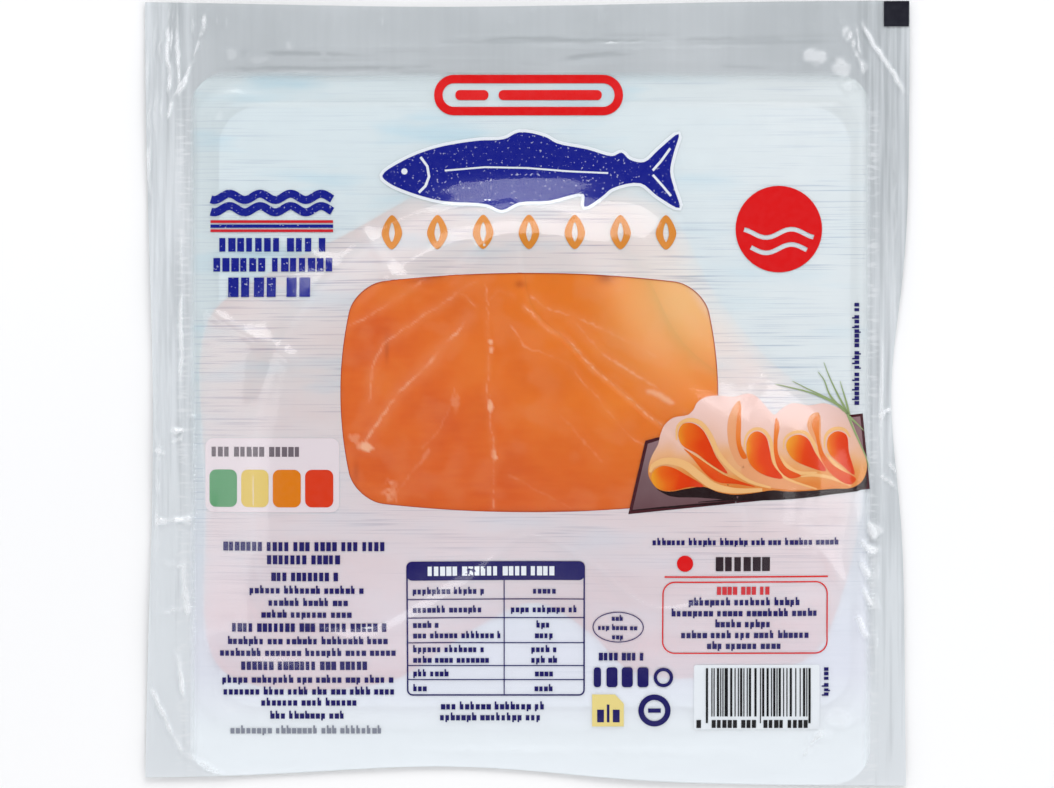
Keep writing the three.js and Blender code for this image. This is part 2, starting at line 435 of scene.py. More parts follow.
# Painted shade: the dents between the folds are darkened
furrow_painted_shade = add(tree, "MapRange", {0: relief.outputs["Fac"], 1: -0.25, 2: 0.0, 3: -0.5, 4: 0.0})
furrow_shaded = add(tree, "Math", {0: brightened, 1: furrow_painted_shade}, operation="ADD")
colour = add(tree, "ValToRGB", {0: furrow_shaded}, stops=[(0.0, SEAL_DARK), (1.0, SEAL_LIGHT)])
# Sharp folds turn white: partly strain whitening, partly painted highlight
fold_white_and_highlight = add(tree, "MapRange", {0: relief.outputs["Fac"], 1: 0.1, 2: 0.4, 3: 0.0, 4: 0.85})
whitened_and_highlit = add(tree, "Mix", {0: fold_white_and_highlight, 6: colour, 7: WHITENING_AND_HIGHLIGHT}, data_type="RGBA")
# Ladder of white ticks at the card's sides: stretch ticks and painted highlights of the fine wrinkles there
tick_space = add(tree, "Mapping", {
    "Vector": place, "Scale": (1000 / SEAL_TICK_LENGTH, 1000 / SEAL_TICK_SPACING, 1)})
ticks = add(tree, "TexNoise", {"Vector": tick_space, "Scale": 1.0, "Detail": 1.0})
ticked = add(tree, "MapRange", {0: ticks, 1: 0.52, 2: 0.64, 3: 0.0, 4: 0.6})
past_card = add(tree, "Math", {0: aside, 1: LADDER_FROM_MIDDLE * MM}, operation="SUBTRACT")
off_card = add(tree, "Math", {0: past_card}, operation="ABSOLUTE")
at_card = add(tree, "MapRange", {0: off_card, 1: 2.8 * MM, 2: 1.2 * MM, 3: 0.0, 4: 1.0})
below_head = add(tree, "MapRange", {0: up_pack, 1: 72 * MM, 2: 62 * MM, 3: 0.0, 4: 1.0})
ladder_highlight = add(tree, "Math", {0: ticked, 1: at_card}, operation="MULTIPLY")
ladder_highlight = add(tree, "Math", {0: ladder_highlight, 1: below_head}, operation="MULTIPLY")
ladder_highlit = add(tree, "Mix", {0: ladder_highlight, 6: whitened_and_highlit.outputs[2], 7: WHITENING_AND_HIGHLIGHT}, data_type="RGBA")
shader = add(tree, "BsdfPrincipled", {
    "Base Color": ladder_highlit.outputs[2], "Roughness": 0.42, "IOR": 1.5, "Alpha": SEAL_MILKINESS,
})
add(tree, "OutputMaterial", {"Surface": shader})


def outside_card(x, y):
    return panel_distance(x, y) > -WEB_HIDDEN_MARGIN


def web_top(x, y):
    """Pressed to the top film in the border, flat on the table under the card"""
    sealed = smooth_rise(1.0 + panel_distance(x, y) / WEB_HIDDEN_MARGIN)
    return WEB_THICKNESS + sealed * (border_surface(x, y) - WEB_UNDER_FILM - WEB_THICKNESS)


web_flat, web_cells = grid(FILM_LINES, outside_card)
web_height = web_top(*web_flat.T)
web_points, web_faces = solid_between(
    web_flat, web_cells, web_height, np.maximum(web_height - WEB_THICKNESS, 0.0)
)
web = mesh_piece("bottom_web_border", web_points, web_faces, web_material)
mark_points(web, "relief", border_relief)
fasten(web)

floor_lines = [np.linspace(-side / 2, side / 2, WEB_FLOOR_LINES) for side in (PACK_WIDTH, PACK_LENGTH)]
floor_flat, floor_cells = grid(floor_lines, lambda x, y: ~outside_card(x, y))
floor_points, floor_faces = solid_between(
    floor_flat, floor_cells, np.full(len(floor_flat), WEB_THICKNESS), np.zeros(len(floor_flat))
)
web_floor = mesh_piece("bottom_web_floor", floor_points, floor_faces, web_material)
fasten(web_floor)

# Backing card
# A stiff white coated board with rounded corners that the slices are laid on. It is die-cut
# and lies loose inside the pouch; the film is drawn tight over its edge and makes the panel.
CARD_THICKNESS = 0.9
CARD_MARGIN = 6.5
CARD_CORNER_RADIUS = 9.0
CARD_MESH_STEP = 12.0
ARC_STEPS = 8
# How close to an outline a filled shape's inner points come, in steps of its grid
RIM_CLEARANCE = 0.45
FAR_AWAY = 1e9
MERGE_WITHIN = 1e-6


def rounded_ring(left, bottom, right, top, radius, steps=ARC_STEPS):
    """A rectangle's outline with round corners"""
    centres = ((right - radius, top - radius), (left + radius, top - radius),
               (left + radius, bottom + radius), (right - radius, bottom + radius))
    ring = []
    for quarter, (x, y) in enumerate(centres):
        for step in range(steps + 1):
            angle = math.pi / 2 * (quarter + step / steps)
            ring.append((x + radius * math.cos(angle), y + radius * math.sin(angle)))
    return np.array(ring)


def grow_ring(ring, distance):
    """An outline moved outwards by a distance"""
    along = np.roll(ring, -1, axis=0) - np.roll(ring, 1, axis=0)
    outward = np.column_stack([along[:, 1], -along[:, 0]]) / np.linalg.norm(along, axis=1, keepdims=True)
    x, y = ring.T
    turn = math.copysign(1.0, np.sum(x * np.roll(y, -1) - y * np.roll(x, -1)))
    return ring + turn * distance * outward


def ring_distance(ring, x, y):
    """Distance to a closed outline, negative inside it"""
    nearest = np.full(np.shape(x), FAR_AWAY)
    inside = np.zeros(np.shape(x), bool)
    for start, end in zip(ring, np.roll(ring, -1, axis=0)):
        along = end - start
        t = np.clip(((x - start[0]) * along[0] + (y - start[1]) * along[1]) / (along @ along), 0.0, 1.0)
        nearest = np.minimum(nearest, np.hypot(x - start[0] - t * along[0], y - start[1] - t * along[1]))
        if start[1] != end[1]:
            spans = (start[1] > y) != (end[1] > y)
            inside ^= spans & (x < start[0] + (y - start[1]) * along[0] / along[1])
    return np.where(inside, -nearest, nearest)


def patch(rings, spacing, lines=None):
    """Triangles that fill an outline less its holes, with corners on a grid's crossings"""
    outer, holes = rings[0], rings[1:]
    low, high = outer.min(axis=0) + spacing / 2, outer.max(axis=0)
    lines = lines or [np.arange(low[0], high[0], spacing), np.arange(low[1], high[1], spacing)]
    inner_x, inner_y = (axis.ravel() for axis in np.meshgrid(*lines))
    keep = ring_distance(outer, inner_x, inner_y) < -RIM_CLEARANCE * spacing
    for hole in holes:
        keep &= ring_distance(hole, inner_x, inner_y) > RIM_CLEARANCE * spacing
    points = np.vstack([*rings, np.column_stack([inner_x[keep], inner_y[keep]])])
    edges, first = [], 0
    for ring in rings:
        edges += [(first + k, first + (k + 1) % len(ring)) for k in range(len(ring))]
        first += len(ring)
    filled = delaunay_2d_cdt([Vector(point) for point in points], edges, [], 0, MERGE_WITHIN)
    flat = np.array([tuple(point) for point in filled[0]])
    faces = np.array(filled[2])
    middle_x, middle_y = flat[faces].mean(axis=1).T
    keep = ring_distance(outer, middle_x, middle_y) < 0
    for hole in holes:
        keep &= ring_distance(hole, middle_x, middle_y) > 0
    return flat, faces[keep]


# Coated board: an even, matt, faintly blue white with the fibre's cloudiness, about 6 mm
CARD_WHITE, CARD_CLOUD = hex_colour("#eef2f5"), hex_colour("#e2e8ee")
CARD_CLOUD_SIZE = 6.0
card_material, tree = new_material("coated_white_board")
place = add(tree, "TexCoord").outputs["Object"]
clouds = add(tree, "TexNoise", {"Vector": place, "Scale": 1000 / CARD_CLOUD_SIZE, "Detail": 4.0})
colour = add(tree, "ValToRGB", {0: clouds}, stops=[(0.3, CARD_CLOUD), (0.7, CARD_WHITE)])
shader = add(tree, "BsdfPrincipled", {"Base Color": colour, "Roughness": 0.6, "IOR": 1.45})
add(tree, "OutputMaterial", {"Surface": shader})

card_ring = rounded_ring(
    PANEL_LEFT + CARD_MARGIN, PANEL_BOTTOM + CARD_MARGIN,
    PANEL_RIGHT - CARD_MARGIN, PANEL_TOP - CARD_MARGIN, CARD_CORNER_RADIUS,
)
CARD_TOP = WEB_THICKNESS + CARD_THICKNESS
card_flat, card_faces = patch([card_ring], CARD_MESH_STEP)
card_points, card_faces = solid_between(
    card_flat, card_faces, np.full(len(card_flat), CARD_TOP), np.full(len(card_flat), WEB_THICKNESS)
)
card = mesh_piece("backing_card", card_points, card_faces, card_material)
fasten(card)

# Slices of smoked salmon
# Thin slices cut along a fillet and laid over each other in a low stack on the card. The
# upper ones fill the window: pale fat lines fan out to both sides of the fillet's middle
# line, and the slice on the right is thinner and more golden.
PANEL_HEIGHT, PANEL_SLOPE = 1.0, 4.5
# How far the slope's foot strays and how much longer the slope gets, each with its patches
PANEL_WANDER, WANDER_PATCH = 1.2, 9.0
SLOPE_MORE, SLOPE_PATCH = 0.5, 14.0
PANEL_SEED = 31
FISH_UNDER_FILM = 0.40

# The whole stack, the upper slices, and the one on top of those: corners, thickness and
# how far in from its outline a slice is full thickness
STACK_CORNERS = [
    (-76.6, 18), (-77.2, -25), (-76, -62), (-68, -69.4), (-32, -69.4), (-12, -57), (2, -51),
    (14, -58), (24, -67), (50, -68), (68, -63), (75, -50), (80.4, -20), (76, -6),
    (58, 9), (45.3, 24.6), (34.5, 43.6), (18, 51), (-1, 52.6), (-22, 50), (-44, 38.5), (-62, 29.5),
]
UPPER_CORNERS = [
    (-68, -12), (-58, 17), (-36, 38), (-10, 47), (14, 44), (27, 30), (37, 12), (58, -5),
    (68, -24), (60, -48), (36, -58), (14, -42), (0, -36), (-14, -46), (-40, -60), (-64, -50),
]
TOP_CORNERS = [
    (-65, -12), (-56, 16), (-35, 36.5), (-12, 45), (-2, 45.5), (-0.8, 30), (1.5, 20), (8.7, 13),
    (19.2, 3.2), (31.6, -7.4), (44, -18), (52, -30), (46, -46), (30, -51), (14, -40), (0, -34),
    (-14, -44), (-40, -57), (-61, -48),
]
STACK_THICKNESS, STACK_EDGE = 4.8, 16.0
UPPER_THICKNESS, UPPER_EDGE = 3.2, 13.0
TOP_THICKNESS, TOP_EDGE = 0.30, 1.6
FISH_INSET = 1.6
# How far in the stack's edge is thin, how thin, and over what way towards the upper right
THIN_REACH, THIN_SHARE, THIN_WAY = 6.0, 0.85, 50.0
# How deep the top slice is bedded, over what taper, and how far a slice's rim turns down
TOP_BODY, TOP_TAPER = 1.5, 5.0
RIM_DIVE, RIM_REACH = 0.05, 0.8
RING_STEPS = 6
WINDOW_CENTRE, WINDOW_HALF = (0.45, 0.1), (40.7, 25.3)
FINE_MARGIN, FINE_SPACING, COARSE_SPACING = 4.5, 0.4, 0.9


def smooth_ring(corners, steps=RING_STEPS):
    """A closed smooth curve through the corners, evenly paced between them"""
    corners = np.array(corners, float)
    count = len(corners)
    ring = []
    for k in range(count):
        near = [corners[(k + shift) % count] for shift in (-1, 0, 1, 2)]
        p0, p1, p2, p3 = near
        t0, t1, t2, t3 = np.cumsum([0.0] + [math.sqrt(np.linalg.norm(b - a)) for a, b in zip(near, near[1:])])
        for step in range(steps):
            t = t1 + (t2 - t1) * step / steps
            a1 = ((t1 - t) * p0 + (t - t0) * p1) / (t1 - t0)
            a2 = ((t2 - t) * p1 + (t - t1) * p2) / (t2 - t1)
            a3 = ((t3 - t) * p2 + (t - t2) * p3) / (t3 - t2)
            b1 = ((t2 - t) * a1 + (t - t0) * a2) / (t2 - t0)
            b2 = ((t3 - t) * a2 + (t - t1) * a3) / (t3 - t1)
            ring.append(((t2 - t) * b1 + (t - t1) * b2) / (t2 - t1))
    return np.array(ring)


STACK_RING, UPPER_RING, TOP_RING = (smooth_ring(c) for c in (STACK_CORNERS, UPPER_CORNERS, TOP_CORNERS))


def stack_rise(x, y):
    return STACK_THICKNESS * smooth_rise(-ring_distance(STACK_RING, x, y) / STACK_EDGE)


def upper_rise(x, y):
    return UPPER_THICKNESS * smooth_rise(-ring_distance(UPPER_RING, x, y) / UPPER_EDGE)


def top_rise(x, y):
    return TOP_THICKNESS * smooth_rise(-ring_distance(TOP_RING, x, y) / TOP_EDGE)


# Lines of fat, in order across the slices: strength, half width, and the points they run
# through; then the white knots and the pink patches on them: strength, half sizes, place
FAT_LINES = [
    (0.50, 0.40, [(-50, 11), (-39, 16.8), (-33.1, 20.7), (-26.6, 25.3), (-22, 28.5)]),
    (0.65, 0.45, [(-37, -2), (-36.4, 6.3), (-33.8, 11.6), (-27.9, 15.5), (-19.4, 21.4), (-12, 26)]),
    (0.75, 0.60, [(-38, -12.6), (-35.7, -7.4), (-29.2, 1.1), (-24.6, 5), (-20.1, 9.6), (-13.5, 18)]),
    (0.22, 0.60, [(-24.6, -12.6), (-21.4, -9.4), (-18.8, -4.1), (-17.4, 1.1)]),
    (0.25, 0.80, [(-31.8, -25), (-27.3, -18.5), (-23.3, -13.3)]),
    (0.45, 0.28, [(-9.5, 40), (-9.4, 19.4), (-9.1, 10.9), (-9.4, 1.8), (-8.4, -9.4), (-7.8, -15.9),
                  (-8, -40)]),
    (0.40, 0.32, [(-17.5, 23.5), (-14.5, 22.6), (-12.2, 20.1)]),
    (0.35, 0.32, [(-9.6, 20.7), (-7, 24), (-3.7, 22.7)]),
    (0.55, 0.45, [(0.9, 22.7), (3.5, 20.4), (8, 19.1), (17.2, 15.5), (25, 11.6), (29.6, 8.3)]),
    (0.95, 0.26, [(-1.1, 20), (3.5, 16.5), (8.7, 12.9), (13.9, 7.6), (22.4, -0.2), (31.6, -7.4)]),
    # The next line, wide and unbroken, is partly fat and partly a painted highlight, a glare on the film
    (0.70, 1.20, [(28.2, 0.1), (30.8, -0.8), (33.6, -2.2)]),
    (0.60, 0.60, [(10.3, 17.1), (13.9, 13.5), (17.2, 9.6), (27, 3.1), (30.9, 0.4), (38.1, -6.1)]),
    (0.35, 0.45, [(-3.7, 15.5), (-0.5, 10.9), (10, 6.3), (15.2, -0.2), (23.7, -9.4), (28.3, -12.6)]),
    (0.22, 0.70, [(7.4, -5.4), (12.6, -10), (17.2, -15.9)]),
    (0.20, 0.60, [(-3.7, -19.2), (3.5, -23.7), (10, -27)]),
]
FAT_KNOTS = [
    (0.80, (0.7, 2.2), (-8.8, 10.9)),
    (0.80, (0.6, 2.6), (-8.6, -2.8)),
    (0.80, (0.7, 2.6), (-7.8, -15.6)),
    (0.90, (1.9, 1.4), (-38.0, -12.8)),
    (0.45, (2.2, 3.0), (-32.2, -23.1)),
    (0.35, (1.8, 1.4), (-40.5, -11.0)),
    (0.25, (1.4, 2.6), (-17.2, -2.0)),
]
# Darker spots where blood is left in the flesh: strength, half sizes and place
DARK_SPOTS = [
    (0.85, (2.2, 1.5), (18.4, 27.2)),
    (0.50, (1.2, 0.9), (-1.8, 25.5)),
    (0.45, (0.5, 2.6), (-33.0, 10.2)),
    (0.40, (0.7, 2.4), (-40.2, -18.6)),
    (0.35, (3.0, 2.2), (-23.4, 27.4)),
]
FAT_SEED = 5
FAT_SWELL = 0.04
SLICE_LEAST = 0.02
# A line is a bright core in a faint glow; one of at least this half width is whole
WHOLE_FROM, WHOLE_RANGE = 1.0, 0.1
FAT_CORE, FAT_GLOW, FAT_GLOW_WIDTH = 0.62, 0.16, 3.2
# How far the lines stray from their points, and over what length
FAT_STRAY, STRAY_PATCH = 0.9, 5.0
FAT_WAVER, WAVER_PATCH = 0.5, 1.1
# How much of a thin line is left between its breaks, and the size of the breaks
BREAK_LEAST, BREAK_MORE, BREAK_PATCH = 0.08, 1.15, 3.5
CRUMB_LEAST, CRUMB_MORE, CRUMB_PATCH = 0.25, 0.9, 0.9
# A faint marbling of fat all over, drawn out aslant
MARBLING, MARBLING_PATCH, MARBLING_GAIN, MARBLING_CUT = 0.07, 9.0, 2.4, 1.1
KNOT_LEAST, KNOT_MORE, KNOT_PATCH, KNOT_GAIN, KNOT_CUT = 0.3, 1.2, 0.8, 1.6, 0.35


def fat_at(x, y):
    """How much fat shows at a point, from 0 to 1: the lines wander a little and break up"""

    def strayed(seed):
        stray = FAT_STRAY * (cloud_at(x, y, STRAY_PATCH, seed) - 0.5)
        return stray + FAT_WAVER * (cloud_at(x, y, WAVER_PATCH, seed + 1) - 0.5)

    x = x + strayed(FAT_SEED)
    y = y + strayed(FAT_SEED + 2)
    crumbs = CRUMB_LEAST + CRUMB_MORE * cloud_at(x, y, CRUMB_PATCH, FAT_SEED + 5)
    broken = BREAK_LEAST + BREAK_MORE * cloud_at(x, y, BREAK_PATCH, FAT_SEED + 4) * crumbs
    marbled = MARBLING_GAIN * cloud_at(x + 2 * y, y - 2 * x, MARBLING_PATCH, FAT_SEED + 6) - MARBLING_CUT
    fat = MARBLING * smooth_rise(marbled)
    for strength, half_width, route in FAT_LINES:
        line = np.full(np.shape(x), FAR_AWAY)
        for start, end in zip(route, route[1:]):
            along = np.subtract(end, start)
            t = np.clip(((x - start[0]) * along[0] + (y - start[1]) * along[1]) / (along @ along), 0.0, 1.0)
            line = np.minimum(line, np.hypot(x - start[0] - t * along[0], y - start[1] - t * along[1]))
        core = np.exp(-((line / (FAT_CORE * half_width)) ** 2))
        glow = FAT_GLOW * np.exp(-((line / (FAT_GLOW_WIDTH * half_width)) ** 2))
        whole = smooth_rise((half_width - WHOLE_FROM) / WHOLE_RANGE)
        fat = np.maximum(fat, strength * np.maximum(core * (broken + (1 - broken) * whole), glow))
    for strength, half_sizes, place in FAT_KNOTS:
        uneven = KNOT_LEAST + KNOT_MORE * cloud_at(x, y, KNOT_PATCH, FAT_SEED + 7)
        knot = KNOT_GAIN * puff(x, y, place, half_sizes) * uneven - KNOT_CUT
        fat = np.maximum(fat, strength * smooth_rise(knot))
    return np.clip(fat, 0.0, 1.0)


def dark_at(x, y):
    spots = (share * puff(x, y, place, half_sizes) for share, half_sizes, place in DARK_SPOTS)
    return np.clip(sum(spots), 0, 1)


# Cold-smoked flesh: moist, slightly translucent orange with light scattered inside, so that
# it glows softly. Fibre about 1.5 mm apart and blotches of 14 mm vary the tone.
FLESH_DEEP, FLESH, FLESH_LIGHT = hex_colour("#d75e27"), hex_colour("#e26c2a"), hex_colour("#e77b36")
FLESH_GOLDEN, FAT_COLOUR = hex_colour("#ebb474"), hex_colour("#f5bc98")
FLESH_WARM, FLESH_DARK = hex_colour("#ed8a20"), hex_colour("#a83a12")
FLESH_THIN = hex_colour("#eadfdd")
FLESH_BLOTCH_SIZE = 14.0
FIBRE_SPACING = 1.5
GOLDEN_CENTRE, GOLDEN_REACH = (37.0, 22.0), 27.0
WARM_DIRECTION = (0.8, 0.6, 0.0)
SCATTER_REACH = 0.5


def flesh_material(name, golden_share):
    """The flesh of a slice; golden_share says how golden its thin side is"""
    material, tree = new_material(name)
    place = add(tree, "TexCoord").outputs["Object"]
    in_mm = add(tree, "VectorMath", {0: place, 1: (1000, 1000, 0)}, operation="MULTIPLY").outputs[0]
    blotches = add(tree, "TexNoise", {"Vector": in_mm, "Scale": 1 / FLESH_BLOTCH_SIZE, "Detail": 3.0})
    flesh = add(tree, "ValToRGB", {0: blotches}, stops=[
        (0.30, FLESH_DEEP), (0.52, FLESH), (0.75, FLESH_LIGHT)])
    warm_side = add(tree, "VectorMath", {0: in_mm, 1: WARM_DIRECTION}, operation="DOT_PRODUCT")
    warm_way = warm_side.outputs["Value"]
    warmth = add(tree, "MapRange", {0: warm_way, 1: -18.0, 2: 42.0, 3: 0.0, 4: 0.85})
    warmed = add(tree, "Mix", {0: warmth, 6: flesh, 7: FLESH_WARM}, data_type="RGBA")
    up_pack = add(tree, "SeparateXYZ", {0: in_mm}).outputs[1]
    lowness = add(tree, "MapRange", {0: up_pack, 1: -2.0, 2: -30.0, 3: 0.0, 4: 0.7})
    deepened = add(tree, "Mix", {0: lowness, 6: warmed.outputs[2], 7: FLESH_DEEP}, data_type="RGBA")
    fibre_space = add(tree, "Mapping", {
        "Vector": in_mm, "Rotation": (0, 0, 0.9), "Scale": (0.12, 1 / FIBRE_SPACING, 1)})
    fibres = add(tree, "TexNoise", {"Vector": fibre_space, "Scale": 1.0, "Detail": 4.0})
    fibre_tone = add(tree, "MapRange", {0: fibres, 1: 0.35, 2: 0.75, 3: 0.0, 4: 0.25})
    fibred = add(tree, "Mix", {0: fibre_tone, 6: deepened.outputs[2], 7: FLESH_LIGHT}, data_type="RGBA")
    away = add(tree, "VectorMath", {0: in_mm, 1: (*GOLDEN_CENTRE, 0)}, operation="DISTANCE")
    golden = add(tree, "MapRange", {
        0: away.outputs["Value"], 1: GOLDEN_REACH, 2: 0.0, 3: 0.0, 4: golden_share,
    }, interpolation_type="SMOOTHSTEP")
    dark = add(tree, "Attribute", attribute_name="dark")
    spotted = add(tree, "Mix", {0: dark.outputs["Fac"], 6: fibred.outputs[2], 7: FLESH_DARK},
                  data_type="RGBA")
    turned = add(tree, "Mix", {0: golden, 6: spotted.outputs[2], 7: FLESH_GOLDEN}, data_type="RGBA")
    fat = add(tree, "Attribute", attribute_name="fat")
    marbled = add(tree, "Mix", {0: fat.outputs["Fac"], 6: turned.outputs[2], 7: FAT_COLOUR}, data_type="RGBA")
    thin = add(tree, "Attribute", attribute_name="thin")
    thinned = add(tree, "Mix", {0: thin.outputs["Fac"], 6: marbled.outputs[2], 7: FLESH_THIN},
                  data_type="RGBA")
    shader = add(tree, "BsdfPrincipled", {
        "Base Color": thinned.outputs[2], "Roughness": 0.5, "Specular IOR Level": 0.08,
        "Subsurface Weight": 0.22, "Subsurface Radius": (1.0, 0.35, 0.15),
        "Subsurface Scale": SCATTER_REACH * MM,
    })
    add(tree, "OutputMaterial", {"Surface": shader})
    return material


def top_slice_bed(x, y):
    """The slice on top is laid in the one below, which gives way under it"""
    return TOP_BODY * smooth_rise(-ring_distance(TOP_RING, x, y) / TOP_TAPER)


def window_lines():
    """Grid lines close together where the window shows the fish, wider apart elsewhere"""
    lines = []
    for centre, half, side in zip(WINDOW_CENTRE, WINDOW_HALF, (PACK_WIDTH, PACK_LENGTH)):
        stops = (-side / 2, centre - half - FINE_MARGIN, centre + half + FINE_MARGIN, side / 2)
        spacings = (COARSE_SPACING, FINE_SPACING, COARSE_SPACING)
        lines.append(np.concatenate([np.arange(*run) for run in zip(stops, stops[1:], spacings)]))
    return lines


def slice_piece(name, ring, bottom, top, material, lines=None):
    """One closed slab of fish between two levels, with the fat marked on its points"""
    flat, faces = patch([ring], COARSE_SPACING, lines)
    x, y = flat.T
    rim = RIM_DIVE * smooth_rise(1.0 + ring_distance(ring, x, y) / RIM_REACH)
    low, high = bottom(x, y), top(x, y) + FAT_SWELL * fat_at(x, y) - rim
    points, faces = solid_between(flat, faces, high, np.minimum(low, high - SLICE_LEAST))
    piece = mesh_piece(name, points, faces, material)
    mark_points(piece, "fat", fat_at)
    mark_points(piece, "dark", dark_at)
    return piece


RIPPLE_SEED = 23
RIPPLE_COUNT, RIPPLE_LENGTHS = 16, (12.0, 40.0)
RIPPLE_STEEPNESS, RIPPLE_ON_CARD = 0.0016, 0.3


def ripple_waves():
    """Soft random waves of the taut film"""
    draw = np.random.default_rng(RIPPLE_SEED)
    waves = []
    for _ in range(RIPPLE_COUNT):
        length, angle = draw.uniform(*RIPPLE_LENGTHS), draw.uniform(0, math.pi)
        turn, phase = 2 * math.pi / length, draw.uniform(0, 2 * math.pi)
        waves.append((turn * math.cos(angle), turn * math.sin(angle), phase, length * RIPPLE_STEEPNESS))
    return waves


RIPPLES = ripple_waves()


def ripple(x, y):
    """The taut film is never quite even; soft fish takes up its form, the flat card does not"""
    waves = sum(size * np.sin(turn_x * x + turn_y * y + phase) for turn_x, turn_y, phase, size in RIPPLES)
    return waves * (RIPPLE_ON_CARD + (1 - RIPPLE_ON_CARD) * stack_rise(x, y) / STACK_THICKNESS)


def panel_rise(x, y):
    """The slope over the card's edge: the film meets it now nearer, now further out"""
    inside = PANEL_WANDER * (cloud_at(x, y, WANDER_PATCH, PANEL_SEED) - 0.5) - panel_distance(x, y)
    slope = PANEL_SLOPE * (1.0 + SLOPE_MORE * cloud_at(x, y, SLOPE_PATCH, PANEL_SEED + 1))
    return PANEL_HEIGHT * smooth_rise(inside / slope)


def lower_top(x, y):
    return BORDER_THICKNESS - FISH_UNDER_FILM + panel_rise(x, y) + stack_rise(x, y) + ripple(x, y)


def upper_top(x, y):
    return lower_top(x, y) + upper_rise(x, y)


def thin_at(x, y):
    """The lowest slices run out thin towards the upper right, where the white card shines through"""
    towards_edge = 1.0 - smooth_rise((-ring_distance(STACK_RING, x, y) - FISH_INSET) / THIN_REACH)
    return THIN_SHARE * towards_edge * smooth_rise((x + y) / THIN_WAY)


lower_slices = slice_piece(
    "slices_lower", grow_ring(STACK_RING, -FISH_INSET), lambda x, y: np.full(x.shape, CARD_TOP), lower_top,
    flesh_material("smoked_flesh_lower", 1.0),
)
mark_points(lower_slices, "thin", thin_at)
fasten(lower_slices)

right_slice = slice_piece(
    "slice_right", UPPER_RING, lower_top, lambda x, y: upper_top(x, y) - top_slice_bed(x, y),
    flesh_material("smoked_flesh_right", 0.95), window_lines(),
)
fasten(right_slice)

top_slice = slice_piece(
    "slice_top", TOP_RING, lambda x, y: upper_top(x, y) - top_slice_bed(x, y),
    lambda x, y: upper_top(x, y) + top_rise(x, y), flesh_material("smoked_flesh_top", 0.6), window_lines(),
)
fasten(top_slice)

# Printed ground
# The top film is printed on its inner side before it is sealed: a thin translucent white
# with pale blue boards drawn on it. It stops at the window, and where fish lies under it
# the pink shows through.
GROUND_UNDER_FILM = 0.22
GROUND_LEFT, GROUND_RIGHT = -79.6, 80.9
GROUND_BOTTOM, GROUND_TOP = -92.2, 75.6
GROUND_CORNER = 9.0
WINDOW_CORNER, WINDOW_CORNER_STEPS = 6.5, 14
WINDOW_BULGE = (3.6, 2.75)
OUTLINE_SPACING = 1.5

# Folds that the vacuum left in the film over the stack: from, to, half width, height
PANEL_CREASES = [
    ((-75.9, 19.5), (-64.0, 12.4), 1.4, 0.60),
    ((-66.0, 14.0), (-53.5, 6.6), 2.2, 0.80),
    ((-39.2, 39.5), (-31.2, 26.6), 1.5, 0.55),
    ((-33.5, 28.0), (-20.6, 24.2), 1.5, 0.65),
    ((-20.6, 24.2), (-8.2, 36.6), 1.5, 0.70),
    ((69.3, -36.7), (74.7, -45.6), 1.3, 0.40),
    ((-61.0, 37.0), (-45.0, 30.0), 1.3, 0.40),
    ((-30.0, 46.5), (30.0, 49.0), 3.5, 0.50),
]


def film_height(x, y):
    """The film's outer surface over the border, the panel and the stack"""
    height = border_surface(x, y) + panel_rise(x, y) + stack_rise(x, y) + upper_rise(x, y) + top_rise(x, y)
    for start, end, half_width, ridge in PANEL_CREASES:
        height = height + crease(x, y, start, end, half_width, ridge)
    return height + ripple(x, y)


def bulged(ring, centre, half, bulge):
    """A rounded rectangle's sides bowed outwards, as the window's are"""
    away = ring - np.array(centre)
    out_x = bulge[0] * (away[:, 0] / half[0]) * (1 - (away[:, 1] / half[1]) ** 2)
    out_y = bulge[1] * (away[:, 1] / half[1]) * (1 - (away[:, 0] / half[0]) ** 2)
    return ring + np.column_stack([out_x, out_y])


def spread_ring(ring, spacing):
    """The same outline with extra points, so that none lie further apart than the spacing"""
    finer = []
    for start, end in zip(ring, np.roll(ring, -1, axis=0)):
        parts = max(1, int(math.ceil(np.linalg.norm(end - start) / spacing)))
        finer += [start + (end - start) * k / parts for k in range(parts)]
    return np.array(finer)


def window_ring():
    half_x, half_y = WINDOW_HALF
    x, y = WINDOW_CENTRE
    ring = rounded_ring(x - half_x, y - half_y, x + half_x, y + half_y, WINDOW_CORNER, WINDOW_CORNER_STEPS)
    return bulged(spread_ring(ring, OUTLINE_SPACING), WINDOW_CENTRE, WINDOW_HALF, WINDOW_BULGE)


WINDOW_RING = window_ring()

# Flexo ink, about four fifths opaque: white with soft pale blue bands 9 mm high, greyer to the
# right, lilac white at the foot and whitest in the hem. Boards are drawn with fine level grain
# lines in patches of 34 mm, which calm down towards the head and the foot.
GROUND_WHITE, GROUND_BLUE, GROUND_GREY = hex_colour("#dce6e8"), hex_colour("#bbdae6"), hex_colour("#e9ecec")
GROUND_FOOT, GROUND_HEM, GRAIN_INK = hex_colour("#e9eaf3"), hex_colour("#f6fbfd"), hex_colour("#9fafc4")
GRAIN_SPACING, GRAIN_LENGTH, GRAIN_PATCH = 0.42, 26.0, 34.0
BAND_HEIGHT, BAND_LENGTH = 9.0, 40.0
GROUND_OPACITY, OPACITY_VARIES = 0.79, 0.04
GROUND_EDGE_FADE, EDGE_LEAST = 2.4, 0.15

